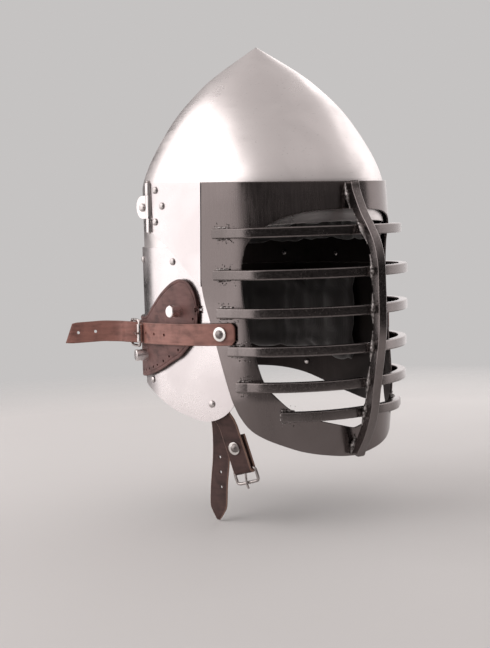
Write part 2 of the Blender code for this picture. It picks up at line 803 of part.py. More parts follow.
        # countersunk inside so that nothing rubs on the skull
        revolve("hinge_rivet_%d_%s" % (num, tag), "rivet_steel",
                [(0, 2.35), (1.9, 2.1), (3.2, 1.3), (3.7, 0.35), (1.8, 0.35),
                 (1.8, LEAF_IN - ARM_A + 0.1), (0, LEAF_IN - ARM_A + 0.1)],
                c, ax, 12, origin=PIVOT)
    for obj in (front, rear):
        obj.data.materials[0].name = "polished_steel." + obj.name
        set_origin(obj, PIVOT)

# ---- bars ------------------------------------------------------------------------------
def surface_offset(theta, z, off):
    a, b = mask_ab(z)
    x, y = plan(theta, a, b)
    n = out_normal(theta, a, b)
    return x + n.x * off, y + n.y * off, n


def post_y(z):
    rows = sorted((zz, yy) for yy, zz in POST_PATH)
    return table(rows, z, 1)


for num, (level, y_end, reach, bow) in enumerate(BARS, 1):
    off = BAR_D / 2 + GAP + (0.25 if num == 6 else 0.0)
    slope = abs(post_y(level + 6) - post_y(level - 6)) / 12.0
    back = POST / 2 * math.hypot(1.0, slope) + (BAR_H / 2) * slope
    front = post_y(level) + back + GAP + BAR_D / 2
    th0 = theta_y(y_end, mask_ab(level)[1])
    p = []
    for k in range(3):
        th = th0 - math.radians(6.2) * k / 2
        x, y, n = surface_offset(th, level, off)
        p.append((x, y))
    th1 = th0 - math.radians(6.2)
    n = surface_offset(th1, level, off)[2]
    fwd = Vector((-n.y, n.x, 0))
    if fwd.y > 0:
        fwd.negate()
    fwd = (fwd + n * 0.34).normalized()
    b0 = p[-1]
    b1 = (b0[0] + fwd.x * reach, b0[1] + fwd.y * reach)
    b2 = (-bow, front)
    b3 = (0.0, front)
    for k in range(1, 8):
        t = k / 7.0
        u = 1 - t
        p.append(tuple(u ** 3 * q0 + 3 * u * u * t * q1 + 3 * u * t * t * q2 + t ** 3 * q3
                       for q0, q1, q2, q3 in zip(b0, b1, b2, b3)))
    path = p + [(-x, y) for x, y in reversed(p[:-1])]
    pts = [W(x, y, level) for x, y in path]
    sweep("bar_%d" % num, "bar_steel", pts, chamfered(BAR_D, BAR_H, 0.9), normals(pts), origin=PIVOT)

post_pts = [W(0, y, z) for y, z in POST_PATH]
sweep("face_post", "bar_steel", post_pts, chamfered(POST, POST, 1.0),
      normals(post_pts, Vector((1, 0, 0))), origin=PIVOT)

# ---- visor straps, buckles -----------------------------------------------------------------
STRAP_T = 2.6
STRAP_HW = 10.0
STRAP_A = BAND_A + 0.35 + STRAP_T / 2
STRAP_B = STRAP_A + 15.4


def wrap_path(y0, y1, count, a, b):
    t0 = theta_y(y0, b)
    t1 = theta_y(y1, b)
    return [plan(lerp(t0, t1, i / count), a, b) for i in range(count + 1)]


RIVET_Y = -53.4
STRAP_Z0 = -133.7
STRAP_Z1 = -137.3
ROLLER_Y = 62.0
FRAME_L = 22.0
WIRE = 1.5
ROLL_R = 2.9
for tag, side in SIDES:
    path = wrap_path(-67.5, ROLLER_Y, 16, STRAP_A, STRAP_B)
    tx = path[-1][0] - path[-2][0]
    ty = path[-1][1] - path[-2][1]
    length = math.hypot(tx, ty)
    t = Vector((tx / length, ty / length, 0))
    n = Vector((t.y, -t.x, 0))
    if n.x > 0:
        n.negate()
    at = Vector((path[-1][0], path[-1][1], 0))
    # over the pivot bar of the frame, then out in a free tail
    rise = [(5.5, 0.9), (10.0, 4.0), (14.5, 8.4), (18.5, 11.6), (23.0, 13.0), (27.5, 15.6), (32.0, 21.6),
            (36.5, 30.0), (41.0, 39.5), (45.0, 48.5), (49.0, 57.0), (52.4, 64.2)]
    rows = []
    total = len(path)
    for i, (x, y) in enumerate(path):
        f = i / (total - 1)
        hw = STRAP_HW
        if i == 0:
            hw = 6.4
        rows.append((x * side, y, lerp(STRAP_Z0, STRAP_Z1, f), hw, None))
        if i == 0:
            x1, y1 = path[1]
            rows.append((lerp(x, x1, 0.45) * side, lerp(y, y1, 0.45), STRAP_Z0, STRAP_HW, None))
    for k, (s, h) in enumerate(rise):
        q = at + t * s + n * h
        hw = STRAP_HW
        drop = 0.055 * max(0.0, h - 10.0)
        rows.append((q.x * side, q.y, STRAP_Z1 + 2.6 * min(1.0, h / 30.0) - drop, hw, None))
    strap = ribbon("visor_strap_" + tag, "strap_leather", rows, STRAP_T)
    th = theta_y(RIVET_Y, mask_ab(STRAP_Z0)[1])
    a_m, b_m = mask_ab(STRAP_Z0)
    x, y = plan(th, a_m, b_m)
    nn = out_normal(th, a_m, b_m)
    c = W(x * side, y, STRAP_Z0)
    nv = Vector((nn.x * side, nn.y, 0))
    drill(visor_mask, c, nv, 2.2)
    drill(strap, c, nv, 2.2)
    lift = (STRAP_A + STRAP_T / 2) - MASK_A + 0.35
    rivet("strap_rivet_" + tag, "zinc", c + nv * (lift * MM), nv, 4.0, lift + MASK_T, washer=6.8,
          seg=14, origin=PIVOT)
    # punched holes along the strap
    for s in (8.0, 26.0, 44.0):
        th_h = theta_y(ROLLER_Y - s, STRAP_B)
        hx, hy = plan(th_h, STRAP_A, STRAP_B)
        nh = out_normal(th_h, STRAP_A, STRAP_B)
        drill(strap, W(hx * side, hy, STRAP_Z1 + 0.5), Vector((nh.x * side, nh.y, 0)), 1.5, 5.0, 10)
    # frame: front bar carries the roller, rear bar carries the chape and prong
    roller_off = STRAP_T / 2 + 0.4 + ROLL_R
    rc = at + n * roller_off
    lift_ang = math.radians(2.0)
    d = (t * math.cos(lift_ang) + n * math.sin(lift_ang)).normalized()
    pc = rc + d * FRAME_L
    half = 12.4
    frame_path = []
    corner = 3.5
    for u, v in ((0, -1), (0, 1), (1, 1), (1, -1)):
        base = rc + d * (FRAME_L * u)
        dz = v * half
        # rounded corner of the loop
        for k in range(4):
            ang = math.pi / 2 * k / 3
            cu = corner if u == 0 else FRAME_L - corner
            cv = dz - math.copysign(corner, dz)
            start = {(0, -1): math.pi * 1.5, (0, 1): math.pi, (1, 1): math.pi * 0.5, (1, -1): 0.0}[(u, v)]
            aa = start - ang
            frame_path.append((cu + corner * math.cos(aa), cv + corner * math.sin(aa)))
    loop = []
    for fu, fv in frame_path:
        q = rc + d * fu
        loop.append(W(q.x * side, q.y, STRAP_Z1 + fv))
    up = Vector((n.x * side, n.y, 0))

    def loop_sides(i, loop=loop, up=up):
        a = loop[i - 1]
        b = loop[(i + 1) % len(loop)]
        tt = (b - a).normalized()
        return tt.cross(up).normalized(), up

    pivot_at = W(pc.x * side, pc.y, STRAP_Z1)
    roller_at = W(rc.x * side, rc.y, STRAP_Z1)
    sweep("buckle_frame_" + tag, "buckle_steel", loop, disc(WIRE, 8), loop_sides, closed=True,
          origin=pivot_at)
    revolve("buckle_roller_" + tag, "buckle_steel",
            [(WIRE + 0.3, -8.6), (ROLL_R - 0.2, -8.6), (ROLL_R, -8.0), (ROLL_R, 8.0), (ROLL_R - 0.2, 8.6),
             (WIRE + 0.3, 8.6)], roller_at, Vector((0, 0, 1)), 14, ring=True, origin=roller_at)
    # prong: eye on the rear bar, point over the roller
    eye_in = WIRE + 0.3
    eye_out = eye_in + 1.7
    prong = revolve("buckle_prong_" + tag, "buckle_steel",
                    [(eye_in, -1.6), (eye_out, -1.6), (eye_out, 1.6), (eye_in, 1.6)], pivot_at,
                    Vector((0, 0, 1)), 14, ring=True)
    p0 = pc - d * (eye_in + 0.7)
    p1 = rc + n * (ROLL_R + 0.4 + 1.2) + t
    p2 = p1 - t * 5.6
    ptsp = [W(q.x * side, q.y, STRAP_Z1) for q in (p0, p1, p2)]
    rod = sweep("rod", None, ptsp, disc(1.15, 8), normals(ptsp))
    fuse(prong, rod)
    prong.data.materials[0].name = "buckle_steel." + prong.name
    set_origin(prong, pivot_at)
    # slot in the strap for the prong
    dirp = (p1 - p0).normalized()
    slot = sweep("slot", None, [W(q.x * side, q.y, STRAP_Z1) for q in (p0 - dirp, p1 + dirp)],
                 chamfered(3.2, 3.6, 1.0), normals([W(q.x * side, q.y, STRAP_Z1) for q in (p0, p1)]))
    cut(strap, slot)
    # chape: folded leather tab, riveted to the guard behind the buckle
    ch_t = 2.2
    wrap_in = WIRE + 0.6
    rmid = wrap_in + ch_t / 2
    tail_a = BAND_A + 0.35 + ch_t / 2
    tail_b = tail_a + 15.0
    chape = []
    end_y = 112.0
    under = [plan(lerp(theta_y(end_y, tail_b), theta_y(92.0, tail_b), i / 4), tail_a, tail_b)
             for i in range(5)]
    chape += [Vector((x, y, 0)) for x, y in under]
    for ang in (-22, 18, 58, 98, 138, 178, 212):
        aa = math.radians(ang)
        chape.append(pc - (n * math.cos(aa) + d * math.sin(aa)) * rmid)
    over = [plan(lerp(theta_y(95.0, tail_b + ch_t), theta_y(110.0, tail_b + ch_t), i / 3),
                 tail_a + ch_t + 0.4, tail_b + ch_t + 0.4) for i in range(4)]
    chape += [Vector((x, y, 0)) for x, y in over]
    rows = [(q.x * side, q.y, STRAP_Z1, 9.0, None) for q in chape]
    tab = ribbon("chape_" + tag, "strap_leather", rows, ch_t)
    slot = revolve("slot", None, [(0, -2.4), (eye_out + 1.4, -2.4), (eye_out + 1.4, 2.4), (0, 2.4)],
                   pivot_at, Vector((0, 0, 1)), 12)
    cut(tab, slot)
    ry = 103.0
    th_c = theta_y(ry, tail_b)
    x, y = plan(th_c, GUARD_A, GB)
    nn = out_normal(th_c, GUARD_A, GB)
    c = W(x * side, y, STRAP_Z1)
    nv = Vector((nn.x * side, nn.y, 0))
    for piece in (tab, aventail_band, neck_guard):
        drill(piece, c, nv, 2.2, 14.0)
    stack = (BAND_A - GUARD_A) + 0.35 + ch_t * 2 + 0.9
    rivet("chape_rivet_" + tag, "rivet_steel", c + nv * (stack * MM), nv, 3.8, stack + GUARD_T + 0.3)

# ---- chin straps ----------------------------------------------------------------------------
def guard_inside(depth):
    """Point under the front edge rivet, depth inside the guard's outer face."""
    th = theta_y(-37.5, GB)
    x, y = plan(th, GUARD_A, GB)
    n = out_normal(th, GUARD_A, GB)
    return Vector((x - n.x * depth, y - n.y * depth, -198.0)), n


anchor, a_n = guard_inside(GUARD_T + 1.7 + CHIN_T / 2)
along = Vector((-a_n.y, a_n.x, 0.0))
if along.y > 0:
    along.negate()
lead = [anchor + Vector((0, 0, 9.0)) - along * 4.4, anchor + Vector((0, 0, 3.0)) - along * 1.4,
        anchor - Vector((0, 0, 6.0)) + along * 3.0,
        anchor + Vector((5.2, -10.0, -18.5)), anchor + Vector((7.9, -13.0, -31.0)),
        anchor + Vector((10.3, -15.7, -43.0)), anchor + Vector((12.4, -18.1, -54.0))]
down = (lead[-1] - lead[-2]).normalized()
width_dir = (Vector((0.25, -1.0, 0.0)) - down * Vector((0.25, -1.0, 0.0)).dot(down)).normalized()
face_n = down.cross(width_dir).normalized()
if face_n.x > 0:
    face_n.negate()
BUCKLE_R = 1.6
fold_r = BUCKLE_R + 0.35 + CHIN_T / 2
bar_c = lead[-1] + down * 7.0 - face_n * fold_r
fold = [bar_c + (face_n * math.cos(math.radians(q)) + down * math.sin(math.radians(q))) * fold_r
        for q in (0, 36, 72, 108, 144, 180)]
back_leg = [bar_c - face_n * fold_r - down * q for q in (9.0, 20.0, 31.0)]
tangent_edge = Vector((a_n.y, -a_n.x, 0.0))
if tangent_edge.y < 0:
    tangent_edge.negate()
rows = []
for i, q in enumerate(lead):
    edge = tangent_edge.lerp(width_dir * -1.0, min(1.0, max(0.0, (i - 2) / 2.0)))
    hw = 6.5 if i == 0 else 10.0
    rows.append((q.x, q.y, q.z, hw, edge))
for i, q in enumerate(fold + back_leg):
    hw = 7.0 if i == len(fold) + 2 else 10.0
    rows.append((q.x, q.y, q.z, hw, width_dir * -1.0))
chin_strap = ribbon("chin_strap_buckle_end", "chin_leather", rows, CHIN_T)
bar_w = W(*bar_c)
slot = revolve("slot", None, [(0, -2.4), (6.0, -2.4), (6.0, 2.4), (0, 2.4)], bar_w, width_dir, 12)
cut(chin_strap, slot)

# Tongue end: hangs behind the buckle end on the same rivet.
anchor2 = guard_inside(GUARD_T + 1.7 + CHIN_T * 1.5 + 1.0)[0]
hang = [anchor2 + Vector((0, 0, 10.0)), anchor2 + Vector((0, 0, 4.0)), anchor2 - Vector((0, 0, 8.0)),
        anchor2 + Vector((5.6, 3.6, -20.0)), anchor2 + Vector((8.4, 6.2, -36.0)),
        anchor2 + Vector((9.8, 9.0, -54.0)), anchor2 + Vector((9.6, 12.4, -76.0)),
        anchor2 + Vector((9.2, 13.8, -96.0)), anchor2 + Vector((9.2, 14.2, -103.0)),
        anchor2 + Vector((9.2, 14.6, -111.0))]
rows = []
for i, q in enumerate(hang):
    hw = {0: 6.5, 8: 7.0, 9: 1.6}.get(i, 9.5)
    rows.append((q.x, q.y, q.z, hw, tangent_edge))
tongue = ribbon("chin_strap_tongue", "chin_leather", rows, CHIN_T - 0.4)

c, n = on_guard(-37.5, -198.0, 1)
for piece in (chin_strap, tongue):
    drill(piece, c, n, 2.2, 14.0)
hinge_at = W(*anchor)
for q in (-52.0, -66.0, -80.0):
    drill(tongue, W(anchor2.x + 9.8, anchor2.y + 10.0, anchor2.z + q), Vector((1, 0.3, 0)), 1.5, 12.0, 10)

# Rivet that closes the fold.
fold_c = lead[-3].lerp(lead[-2], 0.80)
fold_at = W(*(fold_c + face_n * (CHIN_T / 2)))
drill(chin_strap, fold_at, face_n, 2.2, 14.0)
rivet("chin_rivet", "zinc", fold_at, face_n, 3.7, fold_r * 2 + CHIN_T, washer=6.2, seg=14,
      origin=hinge_at)

# Buckle frame, hung in the fold.
half_w = 12.5
drop_l = 13.0
frame_pts = []
corner = 3.0
for u, v, start in ((0, -1, 270), (0, 1, 180), (1, 1, 90), (1, -1, 0)):
    for k in range(4):
        ang = math.radians(start - 30.0 * k)
        cu = corner if u == 0 else drop_l - corner
        cv = v * (half_w - corner)
        fu = cu + corner * math.cos(ang)
        fv = cv + corner * math.sin(ang)
        frame_pts.append(W(*(bar_c + down * fu + width_dir * fv)))


def chin_sides(i):
    a = frame_pts[i - 1]
    b = frame_pts[(i + 1) % len(frame_pts)]
    tt = (b - a).normalized()
    return tt.cross(face_n).normalized(), face_n


sweep("buckle_frame_chin", "buckle_steel", frame_pts, disc(BUCKLE_R, 8), chin_sides, closed=True,
      origin=bar_w)
prong = revolve("buckle_prong_chin", "buckle_steel",
                [(1.9, -1.6), (3.5, -1.6), (3.5, 1.6), (1.9, 1.6)], bar_w, width_dir, 14, ring=True)
far = bar_c + down * drop_l + face_n * (BUCKLE_R + 0.35 + 1.1)
rod_pts = [W(*(bar_c + down * 2.6)), W(*far), W(*(far + down * 5.0 - face_n * 0.6))]
rod = sweep("rod", None, rod_pts, disc(1.1, 8), normals(rod_pts, width_dir))
fuse(prong, rod)
prong.data.materials[0].name = "buckle_steel." + prong.name
set_origin(prong, bar_w)
set_origin(chin_strap, hinge_at)
set_origin(tongue, W(*anchor2))
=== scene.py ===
"""Looks of the pointed helmet with a barred visor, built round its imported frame.

Sizes are in millimetres with heights from the brow line, as in the CAD source;
at() turns them into the frame's metres. The face looks along -Y.
"""

import math
import random

import bmesh
import bpy
from mathutils import Matrix, Vector, noise


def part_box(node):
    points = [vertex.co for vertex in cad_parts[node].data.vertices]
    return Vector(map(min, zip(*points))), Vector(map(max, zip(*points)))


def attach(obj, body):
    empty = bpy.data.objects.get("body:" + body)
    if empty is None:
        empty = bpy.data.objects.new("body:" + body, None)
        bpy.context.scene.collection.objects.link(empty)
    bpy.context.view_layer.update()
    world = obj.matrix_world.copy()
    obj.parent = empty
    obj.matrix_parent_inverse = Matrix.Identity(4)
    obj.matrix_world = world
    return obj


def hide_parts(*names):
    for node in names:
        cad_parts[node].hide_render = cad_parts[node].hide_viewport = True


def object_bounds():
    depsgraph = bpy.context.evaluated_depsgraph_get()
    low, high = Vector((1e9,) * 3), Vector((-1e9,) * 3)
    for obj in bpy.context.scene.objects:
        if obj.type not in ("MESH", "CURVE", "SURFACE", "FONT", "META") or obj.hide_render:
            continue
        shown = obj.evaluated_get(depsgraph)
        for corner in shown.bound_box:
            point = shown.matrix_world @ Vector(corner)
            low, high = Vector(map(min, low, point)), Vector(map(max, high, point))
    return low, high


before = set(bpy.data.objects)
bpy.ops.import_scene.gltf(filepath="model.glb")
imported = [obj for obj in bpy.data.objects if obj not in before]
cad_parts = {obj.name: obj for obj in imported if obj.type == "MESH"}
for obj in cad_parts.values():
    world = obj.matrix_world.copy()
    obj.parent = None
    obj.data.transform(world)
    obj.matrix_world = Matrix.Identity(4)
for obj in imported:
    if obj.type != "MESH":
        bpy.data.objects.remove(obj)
CAD_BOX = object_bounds()

MM = 0.001
BROW_Z = -95.0
N_SIDE = 2.3
PLAN_Y = 4.0

SKULL_A = 104.0
SKULL_T = 1.8
SKULL_RATIO = 0.880
APEX_Z = 131.8
DOME = [(0, 118.4, 0.0), (3, 117.7, 0.0), (10, 115.8, 0.0), (20, 111.9, 0.0), (30, 107.0, 0.0),
        (40, 101.4, 0.1), (50, 95.2, 0.2), (60, 88.5, 0.3), (70, 80.7, 0.4), (80, 71.5, 0.7),
        (90, 61.0, 1.1), (100, 49.4, 1.4), (110, 35.2, 1.5), (120, 19.4, 1.5), (127, 8.0, 1.5)]
BROW_EDGE = -36.0
SKULL_LOW = -78.0

GUARD_A = 105.8
GUARD_B = 120.4
GUARD_T = 1.5
BAND_A = 109.4
BAND_B = 124.0
BAND_T = 3.0

MASK_A = 107.9
MASK_T = 1.8
MASK_TAPER_Z = -195.0
MASK_TAPER = 0.09
ARM_A = 107.8
ARM_B = 121.6
ARM_T = 1.6

BAR_H = 9.0
BAR_D = 8.0
POST = 9.5
GAP = 0.3
BARS = [(-44.0, -50.0, 34.0, 48.0), (-81.0, -50.0, 40.0, 46.0), (-115.0, -52.0, 38.0, 43.0),
        (-149.0, -61.0, 30.0, 44.0), (-181.0, -67.0, 26.0, 46.0), (-208.0, -96.0, 12.0, 35.0)]
POST_PATH = [(-121.7, -0.5), (-123.2, -9.0), (-127.4, -19.0), (-133.2, -31.0), (-141.0, -43.0),
             (-148.6, -57.0), (-152.4, -73.0), (-153.0, -90.0), (-153.0, -107.0), (-152.8, -126.0),
             (-151.3, -144.0), (-148.0, -163.0), (-144.2, -182.0), (-140.6, -203.0), (-136.2, -218.0),
             (-129.6, -232.0), (-122.8, -243.0), (-120.9, -248.5)]
BAR_LAP = math.radians(6.2)     # how far a bar's end lies on the plate

STRAP_T = 2.6
STRAP_HW = 10.0
STRAP_A = BAND_A + 0.35 + STRAP_T / 2
STRAP_B = STRAP_A + 15.4
STRAP_Z0 = -133.7
STRAP_Z1 = -137.3
ROLLER_Y = 62.0
ROLL_R = 2.9
FRAME_L = 22.0
WIRE = 1.5
CHIN_T = 2.4
CHIN_WIRE = 1.6
LINER_T = 12.0

SIDES = (("R", 1), ("L", -1))


def at(x, y, z):
    return Vector((x * MM, y * MM, (z + BROW_Z) * MM))


# ---- curves and outlines ---------------------------------------------------------
def lerp(a, b, t):
    return a + (b - a) * t


def table(rows, z, col):
    if z <= rows[0][0]:
        return rows[0][col]
    for lo, hi in zip(rows, rows[1:]):
        if z <= hi[0]:
            return lerp(lo[col], hi[col], (z - lo[0]) / (hi[0] - lo[0]))
    return rows[-1][col]


def spline(points, steps):
    """Catmull-Rom through tuples of any length, ends kept."""
    pts = [tuple(2 * a - b for a, b in zip(points[0], points[1]))] + list(points)
    pts.append(tuple(2 * a - b for a, b in zip(points[-1], points[-2])))
    out = []
    for k in range(1, len(pts) - 2):
        for i in range(steps):
            t = i / steps
            out.append(tuple(0.5 * (2 * b + (c - a) * t + (2 * a - 5 * b + 4 * c - d) * t * t
                                    + (3 * b - a - 3 * c + d) * t ** 3)
                             for a, b, c, d in zip(*pts[k - 1:k + 3])))
    out.append(tuple(points[-1]))
    return out


def resample(points, count):
    lengths = [0.0]
    for p, q in zip(points, points[1:]):
        lengths.append(lengths[-1] + math.dist(p, q))
    out = []
    k = 0
    for i in range(count + 1):
        s = lengths[-1] * i / count
        while k < len(points) - 2 and lengths[k + 1] < s:
            k += 1
        span = lengths[k + 1] - lengths[k]
        t = 0.0 if span == 0 else (s - lengths[k]) / span
        out.append(tuple(lerp(a, b, t) for a, b in zip(points[k], points[k + 1])))
    return out


def plan(theta, a, b, n=N_SIDE, yc=PLAN_Y):
    """Point of the plan outline, theta from the face toward the wearer's right."""
    c = math.cos(theta)
    s = math.sin(theta)
    return (-a * math.copysign(abs(s) ** (2.0 / n), s), yc - b * math.copysign(abs(c) ** (2.0 / n), c))


def theta_y(y, b, n=N_SIDE, yc=PLAN_Y):
    f = (yc - y) / b
    c = math.copysign(abs(f) ** (n / 2.0), f)
    return math.acos(max(-1.0, min(1.0, c)))


def theta_x(x, a, n=N_SIDE):
    return math.asin(min(1.0, (abs(x) / a) ** (n / 2.0)))


def side_x(y, a, b, n=N_SIDE, yc=PLAN_Y):
    f = abs((yc - y) / b)
    return a * (1.0 - f ** n) ** (1.0 / n)


def out_normal(theta, a, b):
    d = 1e-4
    x0, y0 = plan(theta - d, a, b)
    x1, y1 = plan(theta + d, a, b)
    n = Vector((y0 - y1, x1 - x0, 0)).normalized()
    x, y = plan(theta, a, b)
    return -n if n.x * x + n.y * (y - PLAN_Y) < 0 else n


# ---- mesh building ---------------------------------------------------------------
def applied(obj):
    """The piece's mesh with its modifiers applied."""
    deps = bpy.context.evaluated_depsgraph_get()
    return bpy.data.meshes.new_from_object(obj.evaluated_get(deps), depsgraph=deps)


def subdivide(obj, levels):
    smooth = obj.modifiers.new("round", "SUBSURF")
    smooth.levels = levels
    smooth.render_levels = levels


def thicken(obj, thick):
    """Gives a sheet its thickness on the inner side."""
    solid = obj.modifiers.new("thickness", "SOLIDIFY")
    solid.thickness = thick * MM
    solid.offset = -1.0
    return solid


def new_object(name, bm, body, material, replaces=()):
    mesh = bpy.data.meshes.new(name)
    bm.to_mesh(mesh)
    bm.free()
    for poly in mesh.polygons:
        poly.use_smooth = True
    obj = bpy.data.objects.new(name, mesh)
    bpy.context.scene.collection.objects.link(obj)
    mesh.materials.append(material)
    if body:
        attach(obj, body)
    if replaces:
        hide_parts(*replaces)
    return obj


def grid_faces(bm, rows, wrap):
    last = len(rows) if wrap else len(rows) - 1
    for i in range(last):
        p = rows[i]
        q = rows[(i + 1) % len(rows)]
        for k in range(len(p) - 1):
            corners = [p[k], q[k], q[k + 1], p[k + 1]]
            unique = list(dict.fromkeys(corners))
            if len(unique) > 2:
                bm.faces.new(unique)


def face_outward(bm):
    """Turns an open sheet so that its faces look away from the head's axis."""
    lean = 0.0
    for f in bm.faces:
        c = f.calc_center_median()
        lean += f.normal.x * c.x + f.normal.y * (c.y - PLAN_Y * MM)
    if lean < 0:
        bmesh.ops.reverse_faces(bm, faces=bm.faces)


def plate(name, grid, thick, body, material, replaces, wrap=False, tip=None, edge=0.35, segments=2):
    """Sheet with a real thickness, from a grid of columns; eased edges and an inner side in nearly black
    steel, which is painted shade.
    """
    bm = bmesh.new()
    top = bm.verts.new(tip) if tip else None
    rows = [[bm.verts.new(p) for p in col] + ([top] if tip else []) for col in grid]
    grid_faces(bm, rows, wrap)
    bm.normal_update()
    face_outward(bm)
    obj = new_object(name, bm, body, material, replaces)
    obj.data.materials.append(INSIDE_SHADE_STEEL)
    thicken(obj, thick).material_offset = 1
    ease(obj, edge, segments)
    return obj


def ease(obj, width, segments=2, angle=40.0):
    """Eased edges and flat-looking faces."""
    bevel = obj.modifiers.new("edges", "BEVEL")
    bevel.width = width * MM
    bevel.segments = segments
    bevel.limit_method = "ANGLE"
    bevel.angle_limit = math.radians(angle)
    obj.modifiers.new("normals", "WEIGHTED_NORMAL")


def rounded(w, h, r, n=4):
    out = []
    for k, (sx, sy) in enumerate(((1, 1), (-1, 1), (-1, -1), (1, -1))):
        for i in range(n + 1):
            t = math.pi / 2 * (k + i / n)
            out.append((sx * (w / 2 - r) + r * math.cos(t), sy * (h / 2 - r) + r * math.sin(t)))
    return out


def in_plane(path, up):
    """Normals of a path in its own plane, and the up direction."""
    def sides(i):
        t = (path[min(len(path) - 1, i + 1)] - path[max(0, i - 1)]).normalized()
        return t.cross(up).normalized(), up
    return sides


def sweep(bm, path, section, sides, shrink=None):
    """Closed solid: the section (mm) swept along the path; shrink(i) scales a ring."""
    rings = []
    for i, p in enumerate(path):
        da, db = sides(i)
        s = MM * (shrink(i) if shrink else 1.0)
        rings.append([bm.verts.new(p + da * (a * s) + db * (b * s)) for a, b in section])
    n = len(section)
    for p, q in zip(rings, rings[1:]):
        for k in range(n):
            m = (k + 1) % n
            bm.faces.new((p[k], q[k], q[m], p[m]))
    bm.faces.new(rings[0])
    bm.faces.new(list(reversed(rings[-1])))
    return rings


def punch(obj, holes, solver="EXACT"):
    """Round holes (centre, axis, radius in mm) cut through a piece."""
    cutter_mesh = bmesh.new()
    for centre, axis, radius in holes:
        turn = axis.to_track_quat("Z", "Y").to_matrix().to_4x4()
        bmesh.ops.create_cone(cutter_mesh, cap_ends=True, segments=24, radius1=radius * MM,
                              radius2=radius * MM, depth=0.014, matrix=Matrix.Translation(centre) @ turn)
    mesh = bpy.data.meshes.new("punch")
    cutter_mesh.to_mesh(mesh)
    cutter_mesh.free()
    cutter = bpy.data.objects.new("punch", mesh)
    bpy.context.scene.collection.objects.link(cutter)
    mod = obj.modifiers.new("punch", "BOOLEAN")
    mod.operation = "DIFFERENCE"
    mod.solver = solver
    mod.object = cutter
    cut = applied(obj)
    obj.modifiers.remove(mod)
    obj.data = cut
    bpy.data.objects.remove(cutter, do_unlink=True)
    bm = bmesh.new()
    bm.from_mesh(cut)
    bmesh.ops.dissolve_degenerate(bm, edges=bm.edges, dist=1e-7)
    bm.to_mesh(cut)
    bm.free()
    for poly in cut.polygons:
        poly.use_smooth = True
    cut.set_sharp_from_angle(angle=math.radians(50))


EDGE_STEPS = (0.0, 0.18, 0.45, 0.8, 1.3, 1.75, 2.1, 2.5, 3.1)    # from a strap's edge, mm


def strap_section(hw, thick, crease):
    """Cross-section (across, out, edge weight): cut edges a little rounded, a creased line inside them."""
    scale = min(1.0, hw / 4.0)
    top = []
    for d in EDGE_STEPS:
        rise = 0.62 + 0.38 * math.sqrt(max(0.0, 1.0 - (1.0 - min(1.0, d / 0.8)) ** 2))
        groove = crease * math.exp(-((d - 2.1) / 0.35) ** 2)
        top.append((hw - d * scale, thick / 2 * rise - groove, max(0.0, 1.0 - d / 1.0)))
    middle = [(hw * f * (1 - 3.1 * scale / hw), thick / 2, 0.0) for f in (0.66, 0.33)]
    half = top + middle
    upper = half + [(0.0, thick / 2, 0.0)] + [(-u, v, w) for u, v, w in reversed(half)]
    return upper + [(u, -v, w) for u, v, w in reversed(upper)]


def strip(name, rows, thick, body, material, replaces, crease=0.0):
    """Flat strap. A row is (x, y, z, half width, edge direction x, y, z) in mm."""
    pts = [Vector(r[:3]) for r in rows]
    bm = bmesh.new()
    layer = bm.verts.layers.float.new("edge")
    rings = []
    count = len(rows)
    for i, row in enumerate(rows):
        t = (pts[min(i + 1, count - 1)] - pts[max(i - 1, 0)]).normalized()
        edge = Vector(row[4:7])
        edge = (edge - t * edge.dot(t)).normalized()
        nrm = t.cross(edge).normalized()
        ring = []
        flat = 0.62 if i in (0, count - 1) else 1.0
        for u, v, w in strap_section(min(row[3], 10.0), thick, crease):
            q = pts[i] + edge * u + nrm * (v * flat)
            vert = bm.verts.new(at(*q))
            vert[layer] = max(w, 1.0 - flat)
            ring.append(vert)
        rings.append(ring)
    n = len(rings[0])
    for p, q in zip(rings, rings[1:]):
        for k in range(n):
            m = (k + 1) % n
            bm.faces.new((p[k], p[m], q[m], q[k]))
    bm.faces.new(list(reversed(rings[0])))
    bm.faces.new(rings[-1])
    bmesh.ops.recalc_face_normals(bm, faces=bm.faces)
    return new_object(name, bm, body, material, replaces)


